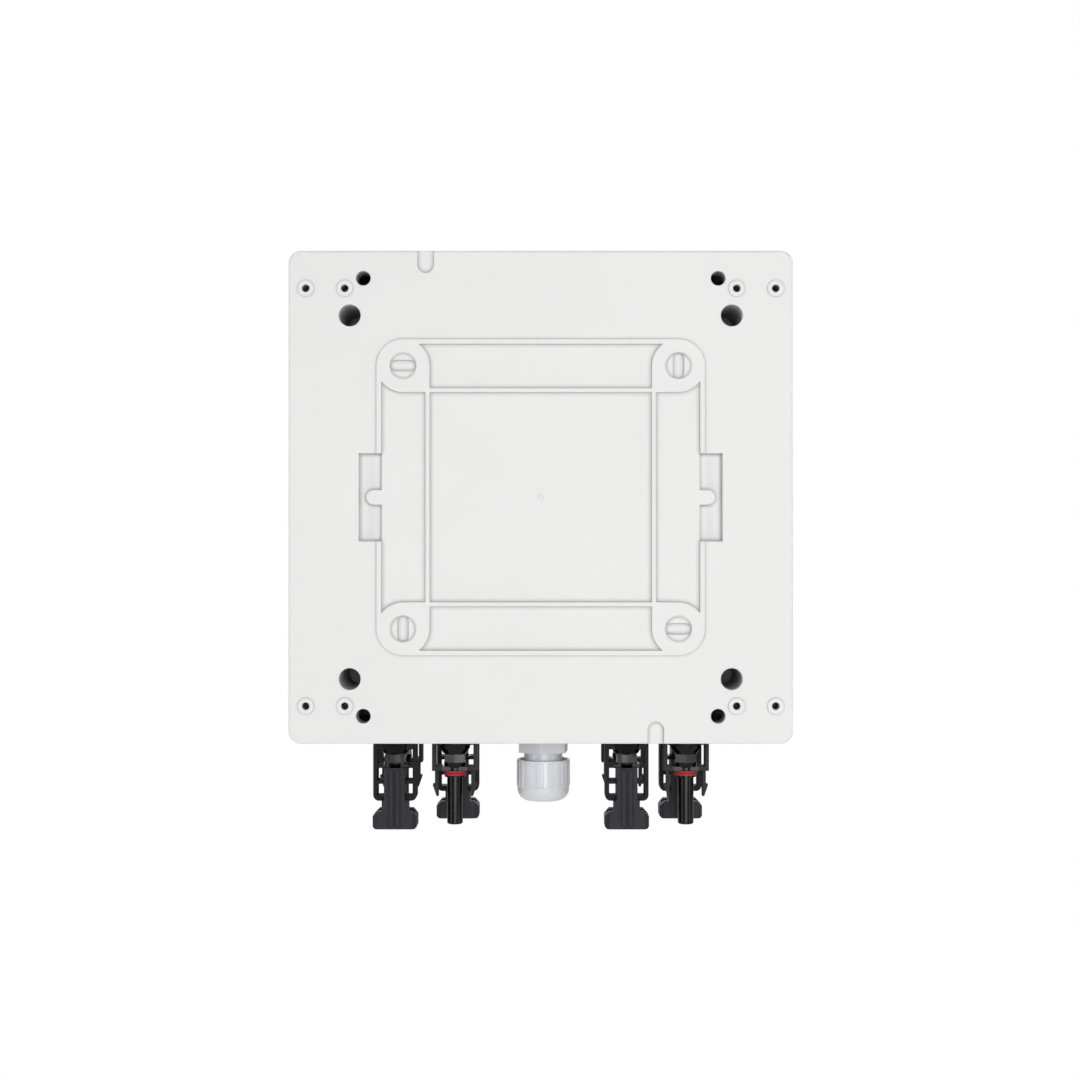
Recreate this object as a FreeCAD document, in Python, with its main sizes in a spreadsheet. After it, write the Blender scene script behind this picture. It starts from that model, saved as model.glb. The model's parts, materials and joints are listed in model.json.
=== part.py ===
import FreeCAD, Part
import os
import Sketcher
from FreeCAD import Placement, Rotation, Vector

# Solar combiner box: a moulded wall box with panel connectors and a cable gland under it.
# The wall is the plane y = 0 and the box stands out towards -Y. The origin is the centre of
# the four wall screws. "Depth" is the distance out from the wall, so y = -depth.

doc = FreeCAD.newDocument("solar_combiner_box")
dims = doc.addObject("Spreadsheet::Sheet", "dims")
parts = []
corners = [(-1, 1), (1, 1), (-1, -1), (1, -1)]

# Lengths in millimetres; a text that starts with = is a formula on other sizes
sizes = {
    # Overall box
    "box_width": 215, "box_height": 210, "box_depth": 100,
    "wall": 3.5, "corner_radius": 5.4, "edge_round": 1.0, "inner_round": 2.5,
    "door_rise": 10, "cover_front": "=box_depth - door_rise",
    "cover_height": 14, "rim_depth": "=cover_front - cover_height", "foot_step": 0.4,

    # Raised frame, pads and recesses on the back
    "pad_inset_x": 48.9, "pad_inset_z": 49.0, "pad_radius": 11.4, "outer_rib": 2.2, "inner_rib": 1.9,
    "panel_sink": 0.7, "knock_radius": 5.2, "knock_groove": 0.8, "knock_depth": 0.6,
    "knock_slot": 10.4, "knock_width": 4.7, "knock_slot_depth": 1,
    "recess_width": 9.6, "recess_height": 37.4, "recess_depth": 4, "tongue_width": 6.4, "tongue_reach": 6.6,
    "notch_offset": 49, "notch_width": 6.8, "notch_length": 9.4, "notch_depth": 1,
    "gate_radius": 1.1, "gate_height": 0.15,

    # Holes in the back, each measured in from the sides and from the top or bottom
    "wall_hole_x": 32, "wall_hole_z": 11.8, "wall_hole_radius": 3.1, "wall_boss_radius": 6,
    "wall_boss_height": 8,
    "post_x": 26.2, "post_z": 27.6, "post_radius": 7.5, "well_radius": 4.65, "well_depth": 40,
    "pilot_outer_x": 7.5, "pilot_inner_x": 24.1, "pilot_z": 16.1, "pilot_radius": 1.6, "pilot_depth": 11,
    "pilot_boss_radius": 4.6, "pilot_boss_height": 10, "pilot_ring_radius": 3.5, "pilot_ring_height": 0.3,

    # Gasket and cover
    "gasket_width": 1.5, "gasket_depth": 2, "cover_wall": 2.4, "cover_edge_round": 3,
    "tray_sink": 8, "tray_front": "=cover_front - tray_sink", "tray_plate": 2, "tray_width": 160,
    "tray_height": 76, "tray_wall": 2.4, "window_gap": 0.6,
    "screw_hole_radius": 2.7, "screw_pocket_radius": 6.2, "screw_pocket_depth": 7, "thread_radius": 2.1,
    "screw_shank": 2, "screw_head_radius": 5.8, "screw_head_height": 4, "screw_length": 26,
    "screw_slot": 1.4, "screw_bevel": 0.8, "screw_tip_room": 1,

    # Door and its hinges
    "door_width": 172, "door_height": 98, "door_gap": 0.3, "door_wall": 2.2, "door_round": 6,
    "door_edge_round": 2.5, "hinge_rise": 4, "hinge_radius": 3.5, "hinge_pin_radius": 1.5,
    "hinge_pin_gap": 0.05, "hinge_offset": 68,
    "knuckle_width": 10, "lug_width": 4, "tab_width": 30, "tab_reach": 4, "tab_thickness": 3,

    # Rail and the modular devices on it
    "nose_proud": 1, "rail_front": "=tray_front + nose_proud - nose", "rail_height": 35,
    "rail_depth": 7.5, "rail_throat": 27, "rail_thickness": 1, "rail_end": 8,
    "rail_boss_radius": 4.5, "rail_screw_x": 55, "rail_screw_radius": 1.8, "rail_gap": 0.2,
    "rail_screw_head": 3.2, "rail_head_height": 2.4, "rail_screw_slot": 0.9,
    "rail_screw_length": "=(rail_front - rail_depth) / 2",
    "module_count": 8, "module_pitch": 18, "module_gap": 0.3,
    "device_half": 42, "device_back": 5.5, "shoulder": 44, "nose": 59, "nose_half": 22.4,
    "shoulder_slope": 6, "nose_round": 1.6, "terminal_size": 9, "terminal_centre": 21, "terminal_depth": 12,
    "terminal_hole_radius": 2.8, "terminal_hole_z": 30, "terminal_hole_depth": 8,
    "lever_axis": 54, "lever_hub": 8.6, "lever_gap": 0.3, "lever_width": 7.6, "lever_off": 40,
    "handle_width": 6.4, "handle_reach": 14, "handle_root": 1.9, "handle_tip": 1.4, "tie_root": 10.4,
    "tie_half": 1.6,

    # Bars
    "comb_thickness": 2, "comb_height": 10, "comb_tooth": 6, "comb_rise": 1, "seat_gap": 0.3,
    "bar_length": 56, "bar_height": 8, "bar_depth": 8, "bar_base": 10, "bar_base_lip": 3,
    "bar_inset_x": 59.5, "bar_x": "=box_width / 2 - bar_inset_x",
    "bar_inset_z": 41, "bar_z": "=box_height / 2 - bar_inset_z",
    "bar_hole_count": 6, "bar_hole_radius": 2.4, "bar_hole_pitch": 8,
    "bar_screw_radius": 1.6, "bar_screw_head": 2.6, "bar_head_height": 1.8, "bar_screw_length": 3,
    "bar_screw_slot": 0.7,

    # Panel connectors: rows along the underside
    "near_row": 32, "row_inset": 12, "far_row": "=rim_depth - row_inset",
    "inner_string": 38, "outer_string": 64.3, "panel_hole_gap": 0.2,
    "shank_radius": 6, "shank_rise": 13, "seal_thickness": 1.2, "seal_radius": 8.4,
    "flange_radius": 8.4, "flange_thickness": 1.6,
    "nut_across": 17, "nut_thickness": 4, "nut_gap": 0.1,
    "bell_radius": 7, "bell_shoulder": 6.6, "bell_turn": 5, "bell_foot": 5.2, "bell_end": 7.4,
    "core_radius": 4.4, "cap_radius": 3.6, "cap_end": 13.5,
    "hex_across": 9, "hex_start": 7.6, "hex_end": 11.3,
    "ladder_width": 19.3, "ladder_end": 28.1, "ladder_depth": 8, "ladder_round": 2.6, "rail_bar": 2.4,
    "opening_start": 5.4, "opening_end": 11.9, "second_start": 13.6, "second_end": 18.8,
    "third_start": 20.6, "third_end": 25.7,
    "column_width": 9.2, "column_start": 13.2, "neck_width": 11.2, "block_width": 19.5,
    "block_start": 32.4, "block_end": 40.2, "block_depth": 15,
    "block_cut_high": 2.2, "block_cut_low": 0.9, "block_bevel": 2, "ridge_width": 1.9, "ridge_space": 1,
    "ridge_height": 0.35,
    "socket_radius": 3.7, "socket_end": 17, "mouth_radius": 5.1, "mouth_depth": 3.2,
    "finger_way_in": 5.9, "finger_way_out": 8.6, "finger_way_depth": 5.2,
    "rear_bore": 2.8, "window_inner": 3.9, "ridge_inset": 1, "overlap": 1,

    # Nose side of the connectors
    "yoke_width": 20, "yoke_end": 14.9, "yoke_depth": 8, "yoke_bar": 1.7, "yoke_open": 3.4, "yoke_foot": 2,
    "nose_radius": 3.5, "nose_end": 38.7, "nose_collar": 4.6, "nose_collar_length": 0.8, "nose_bevel": 0.5,
    "ring_radius": 5.1, "ring_start": 14.9, "ring_end": 17, "ring_gap": 0.05,
    "finger_out": 8.8, "finger_thick": 1.6, "finger_depth": 4.2, "finger_end": 26.3, "finger_toe": 0.9,
    "barb_start": 20.9, "barb_out": 9.7, "barb_face": 0.7,

    # Contacts
    "contact_gap": 0.1, "contact_rise": 11, "pin_radius": 2, "pin_end": 35, "pin_tip": 1,
    "pin_shoulder": 1.5,
    "sleeve_bore": 2.05, "sleeve_end": 37,

    # Cable gland
    "gland_offset": 1.2, "gland_depth": "=(near_row + far_row) / 2", "gland_thread": 10,
    "gland_rise": 12, "gland_gap": 0.2, "washer_radius": 12.6, "washer_thickness": 1.5,
    "gland_across": 20.8, "gland_turn": 23, "gland_hex_end": 8.6, "gland_bore": 6.75,
    "gland_neck": 8.6, "gland_neck_end": 12.8,
    "nose_thread": 9.2, "nose_thread_end": 25, "claw_bore": 8, "claw_start": 13, "lock_across": 25,
    "lock_thickness": 5,
    "dome_start": 11.8, "dome_lip": 0.8, "dome_side": 12, "dome_bevel": 1, "dome_straight_end": 23.5,
    "dome_shoulder": 11.2, "dome_shoulder_end": 25.3, "dome_end": 30.4, "dome_round": 5,
    "dome_hole": 5.6, "dome_wall": 2.2, "dome_clear": 2.4,
    "rib_count": 18, "rib_height": 0.35, "rib_width": 1.1, "rib_root": 1, "rib_margin": 2,
    "insert_bore": 4.6, "insert_start": 14, "insert_end": 27,
}
for row, (name, number) in enumerate(sizes.items(), 1):
    dims.set(f"A{row}", name)
    dims.set(f"B{row}", str(number))
    dims.setAlias(f"B{row}", name)
doc.recompute()


def value(formula):
    return float(dims.evalExpression(str(formula)))


def new_body(name):
    body = doc.addObject("PartDesign::Body", name)
    body.Label = name
    return body


def keep(item, name):
    item.Label = name
    parts.append(item)


def place(item, x="0", depth="0", z="0", turn=None):
    item.Placement = Placement(Vector(), turn or Rotation())
    item.setExpression("Placement.Base.x", str(x))
    item.setExpression("Placement.Base.y", f"-({depth})")
    item.setExpression("Placement.Base.z", str(z))


# Sketches: XZ_Plane looks along the depth, XY_Plane lies level, YZ_Plane is a side view

def sketch_on(body, plane, name, offset="0"):
    sketch = body.newObject("Sketcher::SketchObject", name)
    origin = next(item for item in body.Origin.OriginFeatures if item.Role == plane)
    sketch.AttachmentSupport = [(origin, "")]
    sketch.MapMode = "FlatFace"
    sketch.setExpression("AttachmentOffset.Base.z", str(offset))
    return sketch


def hold(sketch, index, point, x, y):
    for kind, formula in (("DistanceX", x), ("DistanceY", y)):
        row = sketch.addConstraint(Sketcher.Constraint(kind, -1, 1, index, point, value(formula)))
        sketch.setExpression(f"Constraints[{row}]", str(formula))


def set_radius(sketch, index, radius):
    row = sketch.addConstraint(Sketcher.Constraint("Radius", index, value(radius)))
    sketch.setExpression(f"Constraints[{row}]", str(radius))


def polygon(sketch, points):
    first = sketch.GeometryCount
    spots = [Vector(value(x), value(y), 0) for x, y in points]
    for start, end in zip(spots, spots[1:] + spots[:1]):
        sketch.addGeometry(Part.LineSegment(start, end), False)
    for index, (x, y) in enumerate(points):
        before = first + (index - 1) % len(points)
        sketch.addConstraint(Sketcher.Constraint("Coincident", before, 2, first + index, 1))
        hold(sketch, first + index, 1, x, y)


def rectangle(sketch, left, right, low, high):
    polygon(sketch, [(left, low), (right, low), (right, high), (left, high)])


def centred(sketch, width, height, x="0", y="0"):
    rectangle(sketch, f"{x} - ({width}) / 2", f"{x} + ({width}) / 2",
              f"{y} - ({height}) / 2", f"{y} + ({height}) / 2")


def circle(sketch, x, y, radius):
    centre = Vector(value(x), value(y), 0)
    index = sketch.addGeometry(Part.Circle(centre, Vector(0, 0, 1), value(radius)), False)
    hold(sketch, index, 3, x, y)
    set_radius(sketch, index, radius)


def obround(sketch, x, y, length, width, upright):
    along = Vector(0, 1, 0) if upright else Vector(1, 0, 0)
    across = Vector(-along.y, along.x, 0)
    half = f"(({length}) - ({width})) / 2"
    radius = f"({width}) / 2"
    centre = Vector(value(x), value(y), 0)
    first = sketch.GeometryCount
    for side in (1, -1):
        end = centre + along * (side * value(half))
        edge = across * (side * value(radius))
        tip = along * (side * value(radius))
        sketch.addGeometry(Part.Arc(end - edge, end + tip, end + edge), False)
        far = centre - along * (side * value(half))
        sketch.addGeometry(Part.LineSegment(end + edge, far + edge), False)
    for side, index in ((1, first), (-1, first + 2)):
        shift = f"{side} * {half}"
        hold(sketch, index, 3, x if upright else f"{x} + {shift}", f"{y} + {shift}" if upright else y)
        set_radius(sketch, index, radius)
    for step in range(4):
        after = first + (step + 1) % 4
        sketch.addConstraint(Sketcher.Constraint("Tangent", first + step, 2, after, 1))


def polar(sketch, count, radius, turn="0", x="0", y="0"):
    points = []
    for step in range(count):
        angle = f"({step * 360 / count} + {turn})"
        points.append((f"{x} + {radius} * cos({angle})", f"{y} + {radius} * sin({angle})"))
    polygon(sketch, points)


def hexagon(sketch, across, turn="0"):
    polar(sketch, 6, f"({across}) / 2 / cos(30)", turn)


# Features: lengths run along the plane's normal, which is outwards, upwards or towards +X

def grow(body, name, sketch, length, symmetric=False):
    pad = body.newObject("PartDesign::Pad", name)
    pad.Profile = sketch
    pad.SideType = "Symmetric" if symmetric else "One side"
    pad.setExpression("Length", str(length))
    doc.recompute()
    return pad


def cut(body, name, sketch, length, symmetric=False):
    pocket = body.newObject("PartDesign::Pocket", name)
    pocket.Profile = sketch
    pocket.SideType = "Symmetric" if symmetric else "One side"
    pocket.Reversed = not symmetric
    pocket.setExpression("Length", str(length))
    doc.recompute()
    return pocket


def spin(body, name, outline, kind="Revolution"):
    # The outline's points are radius and height, turned about the local Z axis.
    sketch = sketch_on(body, "XZ_Plane", f"{name}_outline")
    polygon(sketch, outline)
    feature = body.newObject(f"PartDesign::{kind}", name)
    feature.Profile = sketch
    feature.ReferenceAxis = (sketch, ["V_Axis"])
    doc.recompute()
    return feature


def dress(body, kind, name, size, wanted):
    base = body.Tip
    edges = [f"Edge{index}" for index, edge in enumerate(base.Shape.Edges, 1) if wanted(edge)]
    feature = body.newObject(f"PartDesign::{kind}", name)
    feature.Base = (base, edges)
    feature.setExpression("Radius" if kind == "Fillet" else "Size", str(size))
    doc.recompute()
    return feature


def runs(edge, axis):
    # True for a straight edge along the axis
    box = edge.BoundBox
    spans = {"x": box.XLength, "y": box.YLength, "z": box.ZLength}
    return spans.pop(axis) > 0.01 and max(spans.values()) < 1e-4


def lies(edge, axis, place):
    # True for an edge that lies in the plane across the axis
    box = edge.BoundBox
    low, high = {"x": (box.XMin, box.XMax), "y": (box.YMin, box.YMax), "z": (box.ZMin, box.ZMax)}[axis]
    return max(abs(low - place), abs(high - place)) < 1e-3


def corner_spots(inset_x, inset_z):
    return [(f"{x} * (dims.box_width / 2 - {inset_x})", f"{z} * (dims.box_height / 2 - {inset_z})")
            for x, z in corners]


def discs(body, name, start, length, spots, radius, feature=grow):
    sketch = sketch_on(body, "XZ_Plane", f"{name}_circles", start)
    for x, z in spots:
        circle(sketch, x, z, radius)
    return feature(body, name, sketch, length)


def group(name, items):
    compound = doc.addObject("Part::Compound", name)
    compound.Links = items
    keep(compound, name)


wall_spots = corner_spots("dims.wall_hole_x", "dims.wall_hole_z")
post_spots = corner_spots("dims.post_x", "dims.post_z")
outer_pilots = corner_spots("dims.pilot_outer_x", "dims.pilot_z")
inner_pilots = corner_spots("dims.pilot_inner_x", "dims.pilot_z")
pilot_spots = outer_pilots + inner_pilots
pad_spots = corner_spots("dims.pad_inset_x", "dims.pad_inset_z")
rail_spots = [("-dims.rail_screw_x", "0"), ("dims.rail_screw_x", "0")]
frame_x = "(dims.box_width / 2 - dims.pad_inset_x + dims.pad_radius)"
frame_z = "(dims.box_height / 2 - dims.pad_inset_z + dims.pad_radius)"
floor_inside = "(dims.foot_step + dims.wall)"
hinge_y = "-(dims.cover_front + dims.hinge_rise)"
hinge_z = "(dims.door_height / 2 + dims.hinge_rise)"
outwards = Rotation(Vector(1, 0, 0), 90)

# Each string has a hood and a nose under the box: its place along X, the hood's row, the nose's row
strings = [
    ("-dims.outer_string", "dims.far_row", "dims.near_row"),
    ("-dims.inner_string", "dims.near_row", "dims.far_row"),
    ("dims.inner_string", "dims.far_row", "dims.near_row"),
    ("dims.outer_string", "dims.near_row", "dims.far_row"),
]


def add_frame(body):
    # A raised block with round corners, its field sunk under the plate, and the ribs and pads in it
    panel_floor = "dims.foot_step + dims.panel_sink"
    outer = sketch_on(body, "XZ_Plane", "outer_rib_outline")
    centred(outer, f"2 * {frame_x}", f"2 * {frame_z}")
    grow(body, "frame_block", outer, "dims.foot_step")
    dress(body, "Fillet", "frame_corners", "dims.pad_radius", lambda edge: runs(edge, "y")
          and edge.BoundBox.YMax > -1e-3
          and abs(abs(edge.BoundBox.XMin) - value(frame_x)) < 1e-3)

    inside = sketch_on(body, "XZ_Plane", "panel_outline")
    centred(inside, f"2 * ({frame_x} - dims.outer_rib)", f"2 * ({frame_z} - dims.outer_rib)")
    cut(body, "panel_field", inside, panel_floor)

    ring = sketch_on(body, "XZ_Plane", "inner_rib_outline")
    inner_x = f"({frame_x} - 2 * dims.pad_radius)"
    inner_z = f"({frame_z} - 2 * dims.pad_radius)"
    centred(ring, f"2 * ({inner_x} + dims.inner_rib)", f"2 * ({inner_z} + dims.inner_rib)")
    centred(ring, f"2 * {inner_x}", f"2 * {inner_z}")
    grow(body, "inner_ribs", ring, panel_floor)

    discs(body, "gate_mark", f"{panel_floor} - dims.gate_height", "2 * dims.gate_height", [("0", "0")],
          "dims.gate_radius")
    discs(body, "pad_rounds", "0", panel_floor, pad_spots, "dims.pad_radius")
    squares = sketch_on(body, "XZ_Plane", "pad_squares_outline")
    for x, z in corners:
        rectangle(squares, f"{x} * {inner_x}", f"{x} * ({frame_x} - dims.pad_radius)",
                  f"{z} * {inner_z}", f"{z} * ({frame_z} - dims.pad_radius)")
    grow(body, "pad_squares", squares, panel_floor)


def add_knockouts(body):
    sketch = sketch_on(body, "XZ_Plane", "knockout_rings")
    for x, z in pad_spots:
        circle(sketch, x, z, "dims.knock_radius + dims.knock_groove / 2")
        circle(sketch, x, z, "dims.knock_radius - dims.knock_groove / 2")
    cut(body, "knockout_grooves", sketch, "dims.knock_depth")
    slots = sketch_on(body, "XZ_Plane", "knockout_slots")
    for (x, z), (side, level) in zip(pad_spots, corners):
        obround(slots, x, z, "dims.knock_slot", "dims.knock_width", side != level)
    cut(body, "knockout_slot", slots, "dims.knock_slot_depth")


def add_side_recesses(body):
    inner = f"({frame_x} - dims.outer_rib)"
    outer = f"({inner} + dims.recess_width)"
    bottom = "(dims.foot_step + dims.recess_depth)"
    for name, side in (("left", -1), ("right", 1)):
        backing = sketch_on(body, "XZ_Plane", f"{name}_backing_outline", floor_inside)
        centred(backing, "dims.recess_width + 2 * dims.wall", "dims.recess_height + 2 * dims.wall",
                f"{side} * ({inner} + {outer}) / 2")
        grow(body, f"{name}_backing", backing, "dims.recess_depth")
        recess = sketch_on(body, "XZ_Plane", f"{name}_recess_outline")
        centred(recess, "dims.recess_width", "dims.recess_height", f"{side} * ({inner} + {outer}) / 2")
        cut(body, f"{name}_recess", recess, bottom)
        tongue = sketch_on(body, "XZ_Plane", f"{name}_tongue_outline", "dims.foot_step + dims.panel_sink")
        obround(tongue, f"{side} * {inner}", "0", "2 * dims.tongue_reach", "dims.tongue_width", False)
        grow(body, f"{name}_tongue", tongue, f"{bottom} - dims.foot_step - dims.panel_sink")


def add_notches(body):
    sketch = sketch_on(body, "XZ_Plane", "edge_notches")
    for side in (1, -1):
        obround(sketch, f"{side} * dims.notch_offset", f"{side} * dims.box_height / 2",
                "2 * dims.notch_length", "dims.notch_width", True)
    cut(body, "notches", sketch, "dims.foot_step + dims.notch_depth")


def ring_outline(sketch, inset, width):
    # Two rectangles that follow the box wall, the middle of their gap lying at the inset
    for side in (-1, 1):
        centred(sketch, f"dims.box_width - 2 * ({inset}) + {side} * ({width})",
                f"dims.box_height - 2 * ({inset}) + {side} * ({width})")


def make_back_box():
    body = new_body("back_box")
    outline = sketch_on(body, "XZ_Plane", "outline", "dims.foot_step")
    centred(outline, "dims.box_width", "dims.box_height")
    grow(body, "block", outline, "dims.rim_depth - dims.foot_step")
    dress(body, "Fillet", "box_corners", "dims.corner_radius", lambda edge: runs(edge, "y"))
    back = value("-dims.foot_step")
    dress(body, "Fillet", "back_edge", "dims.edge_round", lambda edge: lies(edge, "y", back))

    hollow = sketch_on(body, "XZ_Plane", "hollow_outline", floor_inside)
    centred(hollow, "dims.box_width - 2 * dims.wall", "dims.box_height - 2 * dims.wall")
    cut(body, "hollow", hollow, f"dims.rim_depth - {floor_inside}")
    inside_x = value("dims.box_width / 2 - dims.wall")
    dress(body, "Fillet", "hollow_corners", "dims.inner_round",
          lambda edge: runs(edge, "y") and abs(abs(edge.BoundBox.XMin) - inside_x) < 1e-3)

    discs(body, "screw_posts", floor_inside, f"dims.rim_depth - {floor_inside}", post_spots,
          "dims.post_radius")
    discs(body, "wall_bosses", floor_inside, "dims.wall_boss_height", wall_spots, "dims.wall_boss_radius")
    for name, spots in (("outer", outer_pilots), ("inner", inner_pilots)):
        discs(body, f"{name}_pilot_bosses", floor_inside, "dims.pilot_boss_height", spots,
              "dims.pilot_boss_radius")
    discs(body, "rail_bosses", floor_inside, f"dims.rail_front - dims.rail_depth - {floor_inside}",
          rail_spots, "dims.rail_boss_radius")

    add_frame(body)
    add_knockouts(body)
    add_side_recesses(body)
    add_notches(body)
    discs(body, "pilot_rings", "dims.foot_step - dims.pilot_ring_height", "2 * dims.pilot_ring_height",
          pilot_spots, "dims.pilot_ring_radius")

    discs(body, "wells", "0", "dims.well_depth", post_spots, "dims.well_radius", cut)
    discs(body, "wall_holes", "0", f"{floor_inside} + dims.wall_boss_height", wall_spots,
          "dims.wall_hole_radius", cut)
    discs(body, "pilot_holes", "0", "dims.pilot_depth", pilot_spots, "dims.pilot_radius", cut)
    thread = "(dims.screw_length + dims.screw_tip_room)"
    discs(body, "screw_threads", f"dims.cover_front - dims.screw_pocket_depth - {thread}", thread,
          post_spots, "dims.thread_radius", cut)
    discs(body, "rail_threads", floor_inside, "dims.rail_front - dims.rail_depth", rail_spots,
          "dims.rail_screw_radius", cut)

    groove = sketch_on(body, "XZ_Plane", "gasket_groove_outline", "dims.rim_depth - dims.gasket_depth")
    ring_outline(groove, "dims.wall / 2", "dims.gasket_width")
    cut(body, "gasket_groove", groove, "dims.gasket_depth")

    under = sketch_on(body, "XY_Plane", "underside_holes", "-dims.box_height / 2")
    for x, hood, nose in strings:
        circle(under, x, f"-{hood}", "dims.shank_radius + dims.panel_hole_gap")
        circle(under, x, f"-{nose}", "dims.shank_radius + dims.panel_hole_gap")
    circle(under, "-dims.gland_offset", "-dims.gland_depth", "dims.gland_thread + dims.gland_gap")
    cut(body, "underside", under, "dims.wall")
    keep(body, "back_box")


def make_gasket():
    body = new_body("cover_gasket")
    outline = sketch_on(body, "XZ_Plane", "outline", "dims.rim_depth - dims.gasket_depth")
    ring_outline(outline, "dims.wall / 2", "dims.gasket_width")
    grow(body, "cord", outline, "dims.gasket_depth")
    keep(body, "cover_gasket")


def make_cover():
    body = new_body("front_cover")
    outline = sketch_on(body, "XZ_Plane", "outline", "dims.rim_depth")
    centred(outline, "dims.box_width", "dims.box_height")
    grow(body, "block", outline, "dims.cover_front - dims.rim_depth")
    dress(body, "Fillet", "cover_corners", "dims.corner_radius", lambda edge: runs(edge, "y"))
    front = value("-dims.cover_front")
    dress(body, "Fillet", "front_edge", "dims.cover_edge_round", lambda edge: lies(edge, "y", front))

    hollow = sketch_on(body, "XZ_Plane", "hollow_outline", "dims.rim_depth")
    centred(hollow, "dims.box_width - 2 * dims.wall", "dims.box_height - 2 * dims.wall")
    cut(body, "hollow", hollow, "dims.cover_front - dims.cover_wall - dims.rim_depth")

    window_back = "(dims.tray_front - dims.tray_plate)"
    tray = sketch_on(body, "XZ_Plane", "tray_outline", window_back)
    centred(tray, "dims.tray_width + 2 * dims.tray_wall", "dims.tray_height + 2 * dims.tray_wall")
    grow(body, "tray_block", tray, f"dims.cover_front - dims.cover_wall - {window_back}")
    well = sketch_on(body, "XZ_Plane", "tray_well_outline", "dims.tray_front")
    centred(well, "dims.tray_width", "dims.tray_height")
    cut(body, "tray_well", well, "dims.cover_front - dims.tray_front")
    window = sketch_on(body, "XZ_Plane", "window_outline", window_back)
    centred(window, "dims.module_count * dims.module_pitch + 2 * dims.window_gap",
            "2 * (dims.nose_half + dims.window_gap)")
    cut(body, "window", window, "dims.tray_plate")

    discs(body, "screw_bosses", "dims.rim_depth", "dims.cover_front - dims.cover_wall - dims.rim_depth",
          post_spots, "dims.post_radius")
    discs(body, "screw_holes", "dims.rim_depth", "dims.cover_front - dims.rim_depth", post_spots,
          "dims.screw_hole_radius", cut)
    discs(body, "screw_pockets", "dims.cover_front - dims.screw_pocket_depth", "dims.screw_pocket_depth",
          post_spots, "dims.screw_pocket_radius", cut)

    for name, side, outward in (("lug_1", -1, -1), ("lug_2", -1, 1), ("lug_3", 1, -1), ("lug_4", 1, 1)):
        start = f"{side} * dims.hinge_offset + {outward} * (dims.knuckle_width / 2 + dims.door_gap)"
        inner = f"{start} + ({outward} - 1) / 2 * dims.lug_width"
        lug = sketch_on(body, "YZ_Plane", f"{name}_outline", inner)
        circle(lug, hinge_y, hinge_z, "dims.hinge_radius")
        grow(body, f"{name}_round", lug, "dims.lug_width")
        foot = sketch_on(body, "YZ_Plane", f"{name}_foot_outline", inner)
        rectangle(foot, hinge_y, "-(dims.cover_front - dims.cover_wall)",
                  f"{hinge_z} - dims.hinge_radius", f"{hinge_z} + dims.hinge_radius")
        grow(body, f"{name}_foot", foot, "dims.lug_width")
    bore = sketch_on(body, "YZ_Plane", "hinge_bore_outline", "-dims.box_width / 2")
    circle(bore, hinge_y, hinge_z, "dims.hinge_pin_radius + dims.ring_gap")
    cut(body, "hinge_bore", bore, "dims.box_width")
    keep(body, "front_cover")


def make_door():
    body = new_body("door")
    back = "dims.cover_front + dims.door_gap"
    outline = sketch_on(body, "XZ_Plane", "outline", back)
    centred(outline, "dims.door_width", "dims.door_height")
    grow(body, "block", outline, f"dims.box_depth - ({back})")
    dress(body, "Fillet", "door_corners", "dims.door_round", lambda edge: runs(edge, "y"))
    front = value("-dims.box_depth")
    dress(body, "Fillet", "front_edge", "dims.door_edge_round", lambda edge: lies(edge, "y", front))
    hollow = sketch_on(body, "XZ_Plane", "hollow_outline", back)
    centred(hollow, "dims.door_width - 2 * dims.door_wall", "dims.door_height - 2 * dims.door_wall")
    cut(body, "hollow", hollow, f"dims.box_depth - dims.door_wall - ({back})")

    tab = sketch_on(body, "XZ_Plane", "tab_outline", back)
    centred(tab, "dims.tab_width", "2 * dims.tab_reach", "0", "-dims.door_height / 2")
    grow(body, "tab", tab, "dims.tab_thickness")
    for name, side in (("left", -1), ("right", 1)):
        start = f"{side} * dims.hinge_offset - dims.knuckle_width / 2"
        knuckle = sketch_on(body, "YZ_Plane", f"{name}_knuckle_outline", start)
        circle(knuckle, hinge_y, hinge_z, "dims.hinge_radius")
        grow(body, f"{name}_knuckle", knuckle, "dims.knuckle_width")
        web = sketch_on(body, "YZ_Plane", f"{name}_web_outline", start)
        rectangle(web, f"{hinge_y} - dims.hinge_radius", hinge_y,
                  "dims.door_height / 2 - dims.door_wall", hinge_z)
        grow(body, f"{name}_web", web, "dims.knuckle_width")
    bore = sketch_on(body, "YZ_Plane", "hinge_bore_outline", "-dims.door_width / 2")
    circle(bore, hinge_y, hinge_z, "dims.hinge_pin_radius + dims.hinge_pin_gap")
    cut(body, "hinge_bore", bore, "dims.door_width")
    keep(body, "door")


def make_hinge_pins():
    for name, side in (("left", -1), ("right", 1)):
        body = new_body(f"hinge_pin_{name}")
        sketch = sketch_on(body, "YZ_Plane", "pin_outline")
        circle(sketch, "0", "0", "dims.hinge_pin_radius")
        grow(body, "pin", sketch, "dims.knuckle_width + 2 * (dims.lug_width + dims.door_gap)", True)
        place(body, f"{side} * dims.hinge_offset", f"-({hinge_y})", hinge_z)
        keep(body, f"hinge_pin_{name}")


def make_screw(name, x, depth, z, head, head_height, shank, length, slot, turn):
    # The head's underside is the screw's own origin, with the head towards local +Z.
    body = new_body(name)
    spin(body, "screw", [("0", f"-({length})"), (shank, f"-({length})"), (shank, "0"), (head, "0"),
                         (head, f"({head_height}) - dims.screw_bevel"),
                         (f"{head} - dims.screw_bevel", head_height), ("0", head_height)])
    groove = sketch_on(body, "XY_Plane", "slot_outline", f"({head_height}) / 2")
    centred(groove, f"3 * ({head})", slot)
    cut(body, "slot", groove, head_height)
    place(body, x, depth, z, turn)
    return body


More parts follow.
